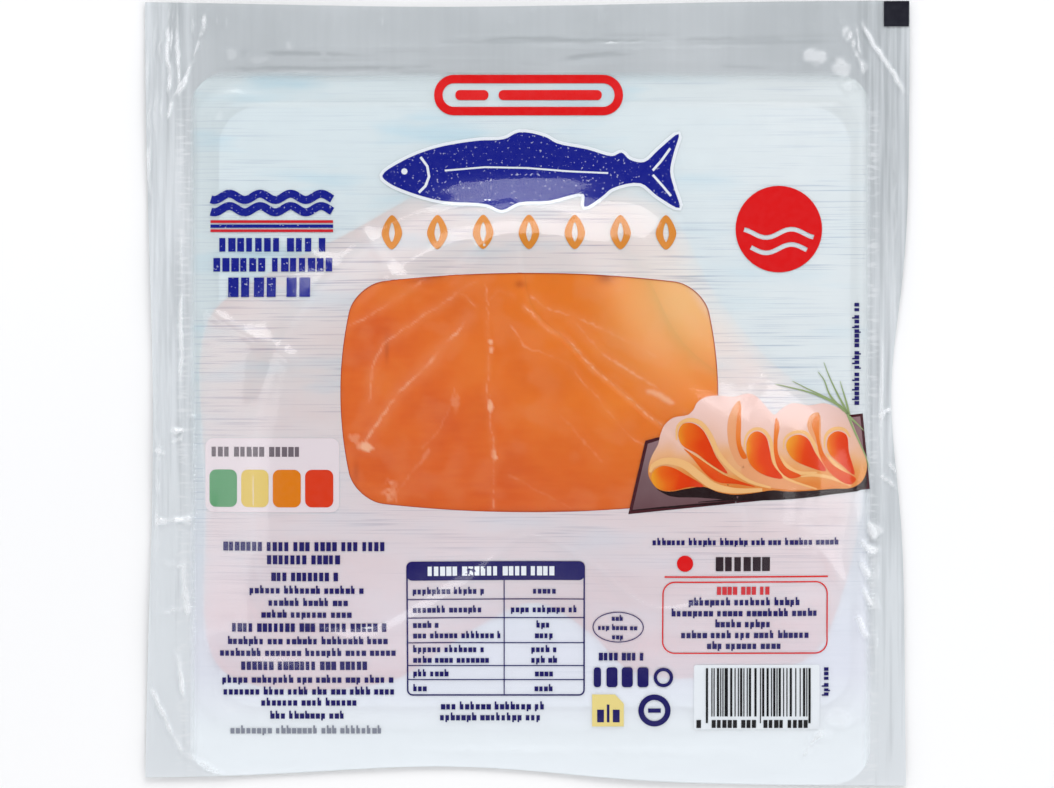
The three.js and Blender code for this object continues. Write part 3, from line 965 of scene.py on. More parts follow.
ground_material, tree = new_material("translucent_printing_ink")
place = add(tree, "TexCoord").outputs["Object"]
in_mm = add(tree, "VectorMath", {0: place, 1: (1000, 1000, 0)}, operation="MULTIPLY").outputs[0]
band_space = add(tree, "Mapping", {"Vector": in_mm, "Scale": (1 / BAND_LENGTH, 1 / BAND_HEIGHT, 1)})
bands = add(tree, "TexNoise", {"Vector": band_space, "Scale": 1.0, "Detail": 3.0})
banded = add(tree, "ValToRGB", {0: bands}, stops=[(0.52, GROUND_WHITE), (0.78, GROUND_BLUE)])
across_pack, up_pack = add(tree, "SeparateXYZ", {0: in_mm}).outputs[:2]
rightward = add(tree, "MapRange", {0: across_pack, 1: 15.0, 2: 60.0, 3: 0.0, 4: 0.6})
greyed = add(tree, "Mix", {0: rightward, 6: banded, 7: GROUND_GREY}, data_type="RGBA")
foot = add(tree, "MapRange", {0: up_pack, 1: 5.0, 2: -60.0, 3: 0.0, 4: 1.0})
lilac = add(tree, "Mix", {0: foot, 6: greyed.outputs[2], 7: GROUND_FOOT}, data_type="RGBA")
grain_space = add(tree, "Mapping", {
    "Vector": in_mm, "Scale": (1 / GRAIN_LENGTH, 1 / GRAIN_SPACING, 1)})
grain = add(tree, "TexNoise", {"Vector": grain_space, "Scale": 1.0, "Detail": 2.5})
grain_mask = add(tree, "MapRange", {0: grain, 1: 0.54, 2: 0.70, 3: 0.0, 4: 1.0})
patches = add(tree, "TexNoise", {"Vector": in_mm, "Scale": 1 / GRAIN_PATCH, "Detail": 1.0})
patchy = add(tree, "MapRange", {0: patches, 1: 0.35, 2: 0.65, 3: 0.25, 4: 0.95})
calm_foot = add(tree, "MapRange", {0: up_pack, 1: -24.0, 2: -50.0, 3: 1.0, 4: 0.15})
calm_head = add(tree, "MapRange", {0: up_pack, 1: 44.0, 2: 56.0, 3: 1.0, 4: 0.35})
grain_ink = grain_mask
for share in (patchy, calm_foot, calm_head):
    grain_ink = add(tree, "Math", {0: grain_ink, 1: share}, operation="MULTIPLY")
grained = add(tree, "Mix", {0: grain_ink, 6: lilac.outputs[2], 7: GRAIN_INK}, data_type="RGBA")
hem = add(tree, "MapRange", {0: up_pack, 1: -66.0, 2: -80.0, 3: 0.0, 4: 0.85})
hemmed = add(tree, "Mix", {0: hem, 6: grained.outputs[2], 7: GROUND_HEM}, data_type="RGBA")
opacity = add(tree, "MapRange", {
    0: bands, 1: 0.3, 2: 0.7, 3: GROUND_OPACITY - OPACITY_VARIES, 4: GROUND_OPACITY + OPACITY_VARIES,
})
inland = add(tree, "Attribute", attribute_name="inland")
thinned = add(tree, "Math", {0: opacity, 1: inland.outputs["Fac"]}, operation="MULTIPLY")
shader = add(tree, "BsdfPrincipled", {
    "Base Color": hemmed.outputs[2], "Roughness": 0.6, "IOR": 1.45, "Alpha": thinned,
    "Specular IOR Level": 0.1,
})
add(tree, "OutputMaterial", {"Surface": shader})

ground_ring = rounded_ring(GROUND_LEFT, GROUND_BOTTOM, GROUND_RIGHT, GROUND_TOP, GROUND_CORNER)
ground_ring = np.column_stack(pulled(*spread_ring(ground_ring, OUTLINE_SPACING).T))
ground_flat, ground_faces = patch([ground_ring, WINDOW_RING], FILM_STEPS[0], FILM_LINES)
ground_height = film_height(*ground_flat.T) - GROUND_UNDER_FILM
ground = mesh_piece(
    "printed_ground", np.column_stack([ground_flat, ground_height]), ground_faces.tolist(), ground_material
)


def inland_at(x, y):
    """The print runs out softly at its two sides and its top"""
    to_side = np.minimum(np.minimum(x - GROUND_LEFT, GROUND_RIGHT - x), GROUND_TOP - y)
    return EDGE_LEAST + (1 - EDGE_LEAST) * smooth_rise(to_side / GROUND_EDGE_FADE)


mark_points(ground, "inland", inland_at)
# The ink scatters light on to what lies under it, so it casts no shadow there
ground.visible_shadow = False
fasten(ground)

# Red badge, roundel and rules
# Plain red shapes at the pack's head and right side. They are printed with a rubber plate
# on the film's inner side, over the ground, so they lie just under the gloss.
INK_UNDER_FILM = 0.11
OVERPRINT_UNDER_FILM = 0.07
INK_SPACING = 1.0
SMALL_MARK = 2.4
DISC_STEPS, LARGE_DISC_STEPS, SMALL_DISC_STEPS = 28, 48, 12
BADGE_OUTER = (-22.0, 65.4, 22.5, 75.0, 4.7)
BADGE_INNER = (-20.0, 67.4, 20.5, 73.0, 2.7)
BADGE_BARS = [(-17.0, 69.0, -9.2, 71.4, 1.1), (-6.8, 69.0, 17.5, 71.4, 1.1)]
ROUNDEL_CENTRE, ROUNDEL_RADIUS = (59.2, 38.6), 10.2
# The two wavy slots in the roundel: how far from its middle and how long to each side
ROUNDEL_WAVES = [(-1.0, 8.2), (-4.6, 6.6)]
WAVE_SLOT, WAVE_SWING, WAVE_TURN, WAVE_STEPS = 0.55, 1.0, 1.9, 19
SMALL_DISC = ((36.9, -40.0), 1.9)
RED_RULE = (32.1, -43.3, 70.7, -42.95)
ADDRESS_FRAME, FRAME_LINE = (31.6, -61.4, 70.7, -44.2, 3.0), 0.3


def box(left, bottom, right, top):
    return np.array([(left, bottom), (right, bottom), (right, top), (left, top)], float)


def disc(centre, half_x, half_y=None, steps=DISC_STEPS):
    turns = np.linspace(0, 2 * math.pi, steps, endpoint=False)
    half_y = half_x if half_y is None else half_y
    return np.column_stack([centre[0] + half_x * np.cos(turns), centre[1] + half_y * np.sin(turns)])


def ribbon(points, half_width):
    """A band of even or changing width along a line of points"""
    points = np.array(points, float)
    along = np.gradient(points, axis=0)
    aside = np.column_stack([-along[:, 1], along[:, 0]]) / np.linalg.norm(along, axis=1, keepdims=True)
    aside = aside * np.reshape(half_width, (-1, 1))
    return np.vstack([points - aside, (points + aside)[::-1]])


def smooth_line(points, count):
    """Evenly spaced points of a smooth open curve through the given ones"""
    points = np.array(points, float)
    order = np.arange(len(points))
    steps = np.linspace(0, len(points) - 1, count)
    curve = []
    for values in points.T:
        slopes = np.gradient(values)
        low = np.minimum(steps.astype(int), len(points) - 2)
        t = steps - order[low]
        a, b, start, end = values[low], values[low + 1], slopes[low], slopes[low + 1]
        curve.append((2 * t**3 - 3 * t**2 + 1) * a + (t**3 - 2 * t**2 + t) * start
                     + (3 * t**2 - 2 * t**3) * b + (t**3 - t**2) * end)
    return np.column_stack(curve)


def framed(outer, line):
    """A rounded frame: its outline and the hole that leaves a line of even width"""
    left, bottom, right, top, radius = outer
    inner = (left + line, bottom + line, right - line, top - line, radius - line)
    return [rounded_ring(*outer), rounded_ring(*inner)]


def ink_sheet(shapes, spacing):
    """Points and faces of many printed shapes; each is one outline, or a list with its holes"""
    flats, faces, first = [], [], 0
    for shape in shapes:
        rings = shape if isinstance(shape, list) else [shape]
        if len(rings[0]) == 4 and np.ptp(rings[0], axis=0).max() < SMALL_MARK:
            flat, cells = rings[0], [[0, 1, 2, 3]]
        else:
            flat, cells = patch([spread_ring(ring, spacing) for ring in rings], spacing)
        flats.append(flat)
        faces += (np.array(cells) + first).tolist()
        first += len(flat)
    return np.vstack(flats), faces


def ink_piece(name, shapes, material, under=INK_UNDER_FILM, spacing=INK_SPACING):
    """Printed shapes that follow the film a little below its outer surface"""
    flat, faces = ink_sheet(shapes, spacing)
    piece = mesh_piece(name, np.column_stack([flat, film_height(*flat.T) - under]), faces, material)
    fasten(piece)
    return piece


# Solid flexo ink: even colour, paler by a little in mottles of 1.6 mm where the plate has
# laid it down thin, and for worn type broken by bare specks of 0.7 mm.
MOTTLE_SIZE, MOTTLE_SHARE, SPECK_SIZE = 1.6, 0.012, 0.7
INK_BARE = hex_colour("#e9edf2")


def ink_material(name, code, worn=0.0):
    material, tree = new_material(name)
    place = add(tree, "TexCoord").outputs["Object"]
    mottle = add(tree, "TexNoise", {"Vector": place, "Scale": 1000 / MOTTLE_SIZE, "Detail": 3.0})
    thin = add(tree, "MapRange", {0: mottle, 1: 0.35, 2: 0.8, 3: 0.0, 4: MOTTLE_SHARE})
    specks = add(tree, "TexNoise", {"Vector": place, "Scale": 1000 / SPECK_SIZE, "Detail": 2.0})
    bare = add(tree, "MapRange", {0: specks, 1: 0.64, 2: 0.70, 3: 0.0, 4: worn})
    most = add(tree, "Math", {0: thin, 1: bare}, operation="MAXIMUM")
    colour = add(tree, "Mix", {0: most, 6: hex_colour(code), 7: INK_BARE}, data_type="RGBA")
    shader = add(tree, "BsdfPrincipled", {
        "Base Color": colour.outputs[2], "Roughness": 0.55, "Specular IOR Level": 0.05,
    })
    add(tree, "OutputMaterial", {"Surface": shader})
    return material


def wave_slot(drop, half_length):
    x = np.linspace(-half_length, half_length, WAVE_STEPS)
    y = drop + WAVE_SWING * np.sin(x / WAVE_TURN)
    return ribbon(np.column_stack([x + ROUNDEL_CENTRE[0], y + ROUNDEL_CENTRE[1]]), WAVE_SLOT)


red_shapes = [
    [rounded_ring(*BADGE_OUTER), rounded_ring(*BADGE_INNER)],
    *(rounded_ring(*bar) for bar in BADGE_BARS),
    [disc(ROUNDEL_CENTRE, ROUNDEL_RADIUS, steps=LARGE_DISC_STEPS),
     *(wave_slot(*wave) for wave in ROUNDEL_WAVES)],
    disc(*SMALL_DISC),
    box(*RED_RULE),
    framed(ADDRESS_FRAME, FRAME_LINE),
]
ink_piece("print_red_shapes", red_shapes, ink_material("red_flexo_ink", "#df0d10"))

# Window edge: painted shade
# The printed ground stops at the window, and along its edge runs a thin line of dark red ink:
# painted shade, for the shadow that the ground's cut edge casts. It shows dark red over the fish.
EDGE_SHADE_OUTSIDE, EDGE_SHADE_INSIDE = 0.05, 0.16
EDGE_SHADE_UNDER = 0.24

# Painted shade: a thin dark red ring along the window's edge
window_edge_shade = [grow_ring(WINDOW_RING, EDGE_SHADE_OUTSIDE), grow_ring(WINDOW_RING, -EDGE_SHADE_INSIDE)]
ink_piece("painted_shade_window_edge", [window_edge_shade], ink_material("painted_shade_dark_red_ink", "#b4451c"),
          EDGE_SHADE_UNDER)

# Title picture and amber row
# In the middle above the window: a bold dark blue fish with a white edge, and under it a
# row of seven amber leaves. The blue is worn with specks, as type cut in wood prints.
FISH_OUTLINE = [
    (-34.2, 51.2), (-29.5, 54.6), (-22, 57.6), (-12, 59.4), (-5.5, 59.8), (-2, 61.4), (4, 60.4), (7, 58.8),
    (14, 57.4), (20, 55.8), (22.2, 56.6), (24, 55.0), (27.5, 54.4), (31, 57.4), (35.6, 61.0), (34.4, 56.4),
    (33.6, 52.2), (34.6, 48.0), (35.8, 43.6), (30.6, 46.4), (26.6, 49.4), (20, 48.2), (17.5, 46.2),
    (13.4, 43.8), (13.2, 46.8), (5, 45.2), (-2, 44.8), (-6, 43.0), (-9.6, 44.4), (-20, 45.2), (-28, 47.4),
    (-32.8, 49.6),
]
FISH_STEPS = 4
FISH_EYE = ((-29.0, 52.2), 0.75)
# Lines left white in the fish, gill, side and tail: half width, and the points they run through
FISH_LINES = [
    (0.32, [(-25.2, 55.6), (-23.6, 53.4), (-23.2, 51.0), (-24.0, 48.8), (-25.6, 47.2)]),
    (0.22, [(-19.5, 52.4), (-10, 53.2), (0, 53.0), (10, 52.2), (19, 51.8)]),
    (0.30, [(29.5, 52.4), (31.6, 54.8), (33.6, 57.6)]),
    (0.30, [(29.5, 51.4), (31.8, 48.8), (33.8, 46.4)]),
]
WHITE_EDGE = 0.75
HALO_UNDER_FILM = 0.15
LEAF_COUNT, LEAF_FIRST, LEAF_PITCH = 7, (-31.9, 37.8), 10.75
LEAF_HALF, LEAF_SLOT, LEAF_SAG = (2.45, 4.1), (0.7, 2.3), 0.3


def leaf(centre, half):
    """A pointed oval, widest a little below its middle"""
    x, y = centre
    widest = y - LEAF_SAG
    return smooth_ring([(x, y - half[1]), (x + half[0], widest), (x, y + half[1]), (x - half[0], widest)])


fish_ring = smooth_ring(FISH_OUTLINE, FISH_STEPS)
fish_cuts = [disc(*FISH_EYE, steps=SMALL_DISC_STEPS)] + [ribbon(route, half) for half, route in FISH_LINES]
white_ink = ink_material("white_flexo_ink", "#eef2f6")
blue_ink = ink_material("worn_blue_flexo_ink", "#08168a", 0.5)
ink_piece("print_title_edge", [grow_ring(fish_ring, WHITE_EDGE)], white_ink, HALO_UNDER_FILM)
ink_piece("print_title_fish", [[fish_ring, *fish_cuts]], blue_ink)

leaf_places = [(LEAF_FIRST[0] + LEAF_PITCH * k, LEAF_FIRST[1]) for k in range(LEAF_COUNT)]
leaves = [[leaf(place, LEAF_HALF), leaf(place, LEAF_SLOT)] for place in leaf_places]
ink_piece("print_amber_row", leaves, ink_material("amber_flexo_ink", "#d6862c"))

# Heading at the left
# Two dark blue wavy ribbons, a red and blue stripe band under them, and three short lines
# of blue marks, all printed with the same worn ink as the fish.
RIBBON_MIDDLES, RIBBON_HALF, RIBBON_ENDS = (46.2, 43.3), 0.95, (-74.6, -46.0)
RIBBON_LENGTH, RIBBON_SWING, RIBBON_STEPS = 7.2, 0.75, 61
STRIPE_ENDS = (-74.7, -45.8)
RED_STRIPES, BLUE_STRIPE = [(40.05, 40.7), (37.9, 38.55)], (38.9, 39.7)
HEADING_LINES = [(-72.6, -47.6, 34.9, 3.2), (-74.0, -46.2, 30.2, 3.2), (-70.5, -49.5, 24.9, 4.6)]
HEADING_SEED = 3
# Marks in a group; then, as shares of the line's height, their pitch, the top of a low mark and
# the drop of a long one; as shares of the pitch, their widths, the width of a stroke and the gap
# between groups; and how many of them have a stroke up or down
MARKS_IN_GROUP = (3, 9)
MARK_PITCH, LOW_TOP, LONG_DROP = 0.66, 0.16, 0.22
MARK_WIDTHS, STROKE_WIDTH, GROUP_GAP = (0.62, 0.86), 0.32, 0.55
TALL_SHARE, LONG_SHARE = 0.3, 0.12


def word_marks(draw, left, right, middle, height, capitals=False):
    """Upright marks in groups, of the height and pace of a line of letters"""
    pitch = MARK_PITCH * height
    low, top = middle - height / 2, middle + height / 2
    high = top if capitals else middle + LOW_TOP * height
    marks, x = [], left
    while x < right - pitch / 2:
        for _ in range(draw.integers(*MARKS_IN_GROUP)):
            if x > right - pitch / 2:
                break
            marks.append(box(x, low, x + pitch * draw.uniform(*MARK_WIDTHS), high))
            if not capitals and draw.random() < TALL_SHARE:
                marks.append(box(x, high, x + STROKE_WIDTH * pitch, top))
            elif not capitals and draw.random() < LONG_SHARE:
                marks.append(box(x, low - LONG_DROP * height, x + STROKE_WIDTH * pitch, low))
            x += pitch
        x += GROUP_GAP * pitch
    return marks


def wavy_ribbon(middle):
    x = np.linspace(*RIBBON_ENDS, RIBBON_STEPS)
    y = middle + RIBBON_SWING * np.sin(2 * math.pi * x / RIBBON_LENGTH)
    return ribbon(np.column_stack([x, y]), RIBBON_HALF)


draw = np.random.default_rng(HEADING_SEED)
heading = [wavy_ribbon(middle) for middle in RIBBON_MIDDLES]
heading.append(box(STRIPE_ENDS[0], BLUE_STRIPE[0], STRIPE_ENDS[1], BLUE_STRIPE[1]))
for line in HEADING_LINES:
    heading += word_marks(draw, *line, capitals=True)
ink_piece("print_heading", heading, blue_ink)
stripes = [box(STRIPE_ENDS[0], low, STRIPE_ENDS[1], high) for low, high in RED_STRIPES]
ink_piece("print_heading_stripes", stripes, ink_material("red_stripe_ink", "#cf1f2c"))

# Colour scale panel
# A pale rounded panel at the left of the window with a line of grey marks and four plain
# tabs from green to red, each a separate ink laid over the white.
SCALE_PANEL = (-75.9, -28.0, -44.1, -10.6, 2.0)
SCALE_NOTE = (-74.4, -53.5, -13.8, 2.3)
TAB_LEFT, TAB_BOTTOM, TAB_SIZE, TAB_CORNER, TAB_PITCH = -74.9, -26.8, (6.6, 8.8), 1.6, 7.6
TAB_COLOURS = [("green", "#5a9c6b"), ("yellow", "#dfc15c"), ("orange", "#df7d0a"), ("red", "#db3a14")]
SCALE_UNDER_FILM = 0.15

ink_piece("print_scale_panel", [rounded_ring(*SCALE_PANEL)], ink_material("pale_panel_ink", "#e6dade"),
          SCALE_UNDER_FILM)
ink_piece("print_scale_note", word_marks(draw, *SCALE_NOTE, capitals=True),
          ink_material("grey_flexo_ink", "#6f646c"))
for k, (tint, code) in enumerate(TAB_COLOURS):
    left = TAB_LEFT + TAB_PITCH * k
    tab = rounded_ring(left, TAB_BOTTOM, left + TAB_SIZE[0], TAB_BOTTOM + TAB_SIZE[1], TAB_CORNER)
    ink_piece("print_scale_" + tint, [tab], ink_material("scale_ink_" + tint, code))

# Serving picture
# Printed over the window's lower right corner: five folded slices on a dark slate with a
# few green blades. Shapes of flat ink, shaded from pink at the top to orange below.
SLATE_CORNERS = [(23.6, -28.4), (27.6, -11.2), (30.5, -10.4), (79.0, -4.8), (80.7, -22.6)]
SLATE_FACE = [(24.6, -27.4), (28.2, -11.9), (31.0, -11.0), (78.4, -5.5), (80.0, -21.9)]
SLATE_GRAIN = [[(24.4, -27.5), (32.0, -26.8), (37.0, -26.7)], [(33.2, -26.6), (44.0, -25.9), (52.0, -25.0)],
               [(40.0, -25.6), (47.0, -25.0), (56.0, -24.8)]]
SHADOW_CORNERS = [
    (30.2, -22.4), (33.2, -23.2), (36.4, -21.6), (41.4, -21.0), (55.0, -22.0), (66.0, -22.0), (76.0, -21.6),
    (79.4, -19.0), (79.8, -22.2), (71.0, -23.9), (62.0, -24.9), (50.0, -25.2), (40.0, -24.5), (33.4, -24.2),
]
FOLDS_OUTLINE = [
    (28.4, -19.5), (28.4, -17.0), (29.2, -14.6), (30.6, -12.0), (31.2, -9.5), (32.2, -7.4), (34.2, -5.8),
    (37.6, -5.1), (38.9, -3.9), (39.8, -2.2), (42.0, -0.9), (45.0, -0.6), (48.4, -0.9), (51.7, -0.1),
    (53.8, -0.8), (56.0, -3.1), (58.0, -5.1), (59.6, -3.8), (62.3, -2.4), (66.4, -2.9), (69.8, -2.4),
    (73.0, -3.4), (75.4, -4.9), (77.5, -9.4), (79.4, -14.2), (80.0, -17.0), (79.6, -19.4), (78.4, -21.2),
    (76.0, -22.4), (72.0, -22.5), (67.0, -22.9), (61.0, -23.1), (57.5, -22.8), (52.6, -23.5), (48.5, -23.8),
    (44.6, -23.2), (41.4, -22.0), (37.4, -22.4), (33.2, -23.1), (30.4, -22.4),
]
# The folded slices' openings, from the left, then the dark clefts between one fold and the next
FOLD_OPENINGS = [
    [(29.0, -19.8), (29.8, -18.0), (31.6, -17.1), (34.0, -17.5), (37.0, -19.1), (41.3, -21.9), (38.0, -22.0),
     (33.4, -22.9), (30.2, -22.2)],
    [(35.3, -9.6), (36.2, -7.4), (38.4, -7.0), (40.9, -8.5), (42.6, -11.4), (44.2, -15.0), (46.9, -18.9),
     (43.4, -17.0), (39.6, -14.2), (36.2, -12.2)],
    [(51.3, -12.0), (52.3, -9.7), (54.0, -9.0), (55.9, -10.2), (56.8, -13.4), (57.5, -16.6), (59.9, -20.0),
     (55.0, -19.0), (52.0, -16.4)],
    [(60.7, -12.6), (61.4, -10.7), (63.6, -9.8), (65.8, -10.7), (67.6, -14.0), (70.2, -18.3), (66.2, -17.4),
     (62.2, -15.4)],
    [(70.4, -12.4), (71.0, -10.1), (73.0, -9.0), (75.1, -9.9), (75.7, -14.0), (77.0, -19.3), (73.8, -16.8),
     (71.2, -14.6)],
]
CLEFTS = [
    [(36.6, -13.0), (38.8, -15.4), (41.6, -18.8), (44.6, -20.9), (49.0, -21.3), (53.4, -22.0), (48.8, -20.3),
     (45.6, -19.0), (41.6, -16.3), (38.8, -14.4)],
    [(49.9, -2.2), (50.1, -7.0), (50.1, -12.4), (51.4, -15.2), (50.4, -15.4), (49.0, -12.0), (49.0, -7.0)],
    [(58.4, -5.8), (59.2, -7.6), (58.7, -11.0), (58.9, -14.4), (60.8, -17.6), (64.2, -19.4), (61.6, -20.0),
     (59.0, -18.0), (57.9, -14.6), (57.8, -10.4)],
    [(68.5, -5.0), (68.6, -10.6), (69.6, -14.0), (72.2, -17.2), (77.4, -20.2), (75.9, -21.6), (71.6, -19.2),
     (68.9, -15.4), (67.8, -10.6), (66.9, -7.0)],
]
SOFT_CLEFTS = [
    [(49.9, -1.8), (50.1, -12.0), (52.6, -17.0), (50.0, -17.4), (47.4, -13.0), (46.9, -7.0), (48.4, -3.0)],
    [(68.6, -4.6), (69.0, -11.0), (69.4, -14.0), (67.6, -11.6), (65.8, -8.0), (66.4, -5.4)],
    [(52.0, -16.4), (55.6, -18.8), (60.2, -20.0), (67.0, -22.4), (60.0, -22.6), (53.0, -21.0), (50.0, -18.0)],
]
# Cut edges that catch the light: half width, and the points they run through
FOLD_EDGES = [
    (0.95, [(28.7, -18.6), (29.6, -16.9), (32.6, -15.9), (36.6, -16.7), (40.2, -19.4), (43.6, -21.8),
            (48.6, -22.9), (55.0, -22.7)]),
    (0.60, [(34.9, -11.0), (35.2, -7.8), (37.6, -6.3), (40.6, -7.1), (42.9, -10.2), (44.6, -14.0),
            (47.6, -17.6), (52.0, -20.7), (57.0, -22.2)]),
    (0.42, [(50.7, -13.0), (51.2, -10.2), (53.0, -8.5), (55.4, -8.8), (57.1, -11.4), (57.5, -14.6),
            (58.6, -17.8), (61.0, -20.2), (68.0, -22.6)]),
    (0.42, [(60.1, -13.2), (60.4, -10.8), (62.4, -9.3), (65.2, -9.3), (67.0, -11.4), (68.4, -14.6),
            (71.0, -18.0), (75.2, -21.2)]),
    (0.45, [(59.4, -14.8), (60.8, -17.0), (63.6, -18.7), (68.0, -18.7)]),
    (0.42, [(69.8, -13.0), (70.1, -10.2), (72.0, -8.5), (74.6, -8.6), (76.0, -10.4)]),
    (0.45, [(70.2, -14.2), (72.2, -16.6), (75.0, -19.0), (76.8, -19.6)]),
    (0.40, [(64.2, -19.6), (67.6, -19.3), (71.6, -20.0), (76.2, -21.9)]),
    (0.16, [(38.6, -14.0), (42.6, -16.8), (46.8, -19.4)]),
]
BLADES = [
    [(58.4, 2.1), (61.5, 1.4), (66.0, 0.3), (70.0, -1.2), (73.4, -3.0), (75.4, -4.9)],
    [(62.4, 2.8), (66.0, 1.0), (70.0, -0.9), (73.6, -3.0), (75.6, -5.0)],
    [(68.4, 5.0), (69.9, 3.0), (71.0, 0.0), (72.4, -2.0), (74.6, -4.2)],
    [(69.8, 7.2), (71.2, 3.6), (72.9, 0.0), (74.5, -3.0), (75.5, -5.2)],
    [(73.6, 2.8), (74.4, 0.2), (75.2, -2.6), (75.8, -5.2)],
    [(80.6, -18.2), (79.8, -15.2), (78.2, -11.6), (76.6, -8.0), (75.4, -5.0)],
    [(79.2, -8.8), (77.6, -7.2), (75.8, -5.6)],
]
BLADE_STEPS, BLADE_HALF = 15, (0.07, 0.30)
LINE_STEPS, PICTURE_STEPS, SHADOW_STEPS = 25, 4, 3
# A cut edge swells and thins again, as a sine does between these two angles
EDGE_SWELL = (0.3, math.pi - 0.4)
GRAIN_HALF = (0.08, 0.2, 0.06)
PICTURE_SPACING = 0.6


# Process inks laid as dots too fine to see: one tone runs into the next across a shape,
# by the tone marked on its points, with clouds 8 mm wide
TONE_CLOUD_SIZE = 8.0


def process_ink(name, codes):
    material, tree = new_material(name)
    place = add(tree, "TexCoord").outputs["Object"]
    clouds = add(tree, "TexNoise", {"Vector": place, "Scale": 1000 / TONE_CLOUD_SIZE, "Detail": 1.5})
    cloud = add(tree, "MapRange", {0: clouds, 1: 0.3, 2: 0.7, 3: -0.12, 4: 0.12})
    marked = add(tree, "Attribute", attribute_name="tone")
    tone = add(tree, "Math", {0: marked.outputs["Fac"], 1: cloud}, operation="ADD")
    stops = [(k / (len(codes) - 1), hex_colour(code)) for k, code in enumerate(codes)]
    colour = add(tree, "ValToRGB", {0: tone}, stops=stops)
    shader = add(tree, "BsdfPrincipled", {
        "Base Color": colour, "Roughness": 0.55, "Specular IOR Level": 0.05,
    })
    add(tree, "OutputMaterial", {"Surface": shader})
    return material


def height_tone(low, high):
    """Tones that change up the picture"""
    return lambda x, y: (y - low) / (high - low)


def opening_tone(x, y):
    """Tones that change across each opening, from its lit left side to its dark right one"""
    tone = np.zeros(len(x))
    for ring in openings:
        left, right = ring[:, 0].min(), ring[:, 0].max()
        here = ring_distance(ring, x, y) < PICTURE_SPACING / 10
        tone[here] = (x[here] - left) / (right - left)
    return tone


SLATE_TONES = ["#6b4b50", "#80666a", "#957478"]
SLICE_TONES = ["#df8238", "#e59c56", "#e8b184", "#e9beab", "#eac4b8", "#ecc9c0"]
OPENING_TONES = ["#eb9f28", "#e66a12", "#e03f00", "#dc3800", "#dd4420"]
CLEFT_TONES = ["#de4208", "#e26214", "#e47822", "#e88a48"]


def smooth_rings(outlines, steps=PICTURE_STEPS):
    return [smooth_ring(corners, steps) for corners in outlines]


openings = smooth_rings(FOLD_OPENINGS)
swell = np.sin(np.linspace(*EDGE_SWELL, LINE_STEPS))
edges = [ribbon(smooth_line(route, LINE_STEPS), half * swell) for half, route in FOLD_EDGES]
grain = [ribbon(route, GRAIN_HALF) for route in SLATE_GRAIN]
blades = [ribbon(smooth_line(route, BLADE_STEPS), np.linspace(*BLADE_HALF, BLADE_STEPS)) for route in BLADES]
shadow = smooth_rings([SHADOW_CORNERS], SHADOW_STEPS)

# The picture's layers from the lowest up: name, shapes, ink, how far under the film, and tone
PICTURE_LAYERS = [
    ("slate", [np.array(SLATE_CORNERS)], ink_material("maroon_edge_ink", "#45161f"), 0.20, None),
    ("slate_face", [np.array(SLATE_FACE)], process_ink("slate_process_ink", SLATE_TONES), 0.187,
     height_tone(-27.0, -9.0)),
    ("slate_shadow", shadow + grain, ink_material("black_brown_ink", "#20090c"), 0.174, None),
    ("folds", smooth_rings([FOLDS_OUTLINE]), process_ink("slice_process_ink", SLICE_TONES), 0.16,
     height_tone(-22.0, -4.0)),
    ("fold_shades", smooth_rings(SOFT_CLEFTS), ink_material("soft_orange_ink", "#e6a070"), 0.145, None),
    ("fold_edges", edges, ink_material("cream_ink", "#efbb7c"), 0.13, None),
    ("fold_clefts", smooth_rings(CLEFTS), process_ink("cleft_process_ink", CLEFT_TONES), 0.115,
     height_tone(-21.0, -5.0)),
    ("fold_openings", openings, process_ink("inside_process_ink", OPENING_TONES), 0.10, opening_tone),
    ("blades", blades, ink_material("green_ink", "#98ab76"), 0.08, None),
]
for name, shapes, ink, under, tone_at in PICTURE_LAYERS:
    layer = ink_piece("print_" + name, shapes, ink, under, PICTURE_SPACING)
    if tone_at:
        mark_points(layer, "tone", tone_at)

# Lines of marks
# Small upright marks in the blue ink: fourteen lines at the lower left, a paler one at their
# foot, one under the serving picture, and two that run up the pack's right side.
MARK_LINES = [
    (-71.6, -33.1, -36.0, 2.1, True), (-61.1, -43.6, -39.1, 2.1, True), (-60.1, -43.9, -43.1, 2.0, True),
    (-65.3, -37.8, -46.1, 1.9, False), (-60.8, -42.0, -49.0, 1.9, False), (-62.5, -41.1, -51.8, 1.9, False),
    (-69.5, -33.1, -55.1, 2.0, True), (-70.5, -33.1, -58.1, 1.9, False), (-72.4, -30.7, -60.9, 1.9, False),
    (-67.4, -36.4, -64.2, 2.0, True), (-71.9, -31.6, -67.3, 1.9, False), (-71.6, -30.7, -70.1, 1.9, False),
    (-62.7, -40.6, -72.7, 1.9, False), (-60.6, -42.5, -75.8, 1.9, False), (29.3, 73.5, -34.8, 1.7, False),
]
DATE_LINE = (-70.0, -33.5, -79.3, 1.9)
UPRIGHT_LINES = [(-2.8, 21.9, 77.3, 1.7), (-71.3, -64.5, 70.1, 1.6)]
LINES_SEED = 8

draw = np.random.default_rng(LINES_SEED)
text_ink = ink_material("text_blue_ink", "#1b1462")
lines = []
for line in MARK_LINES:
    lines += word_marks(draw, *line)
for line in UPRIGHT_LINES:
    lines += [mark[:, ::-1] * (-1, 1) + (2 * line[2], 0) for mark in word_marks(draw, *line)]
ink_piece("print_lines", lines, text_ink)
ink_piece("print_date_line", word_marks(draw, *DATE_LINE), ink_material("faint_grey_ink", "#8b8f9c"))

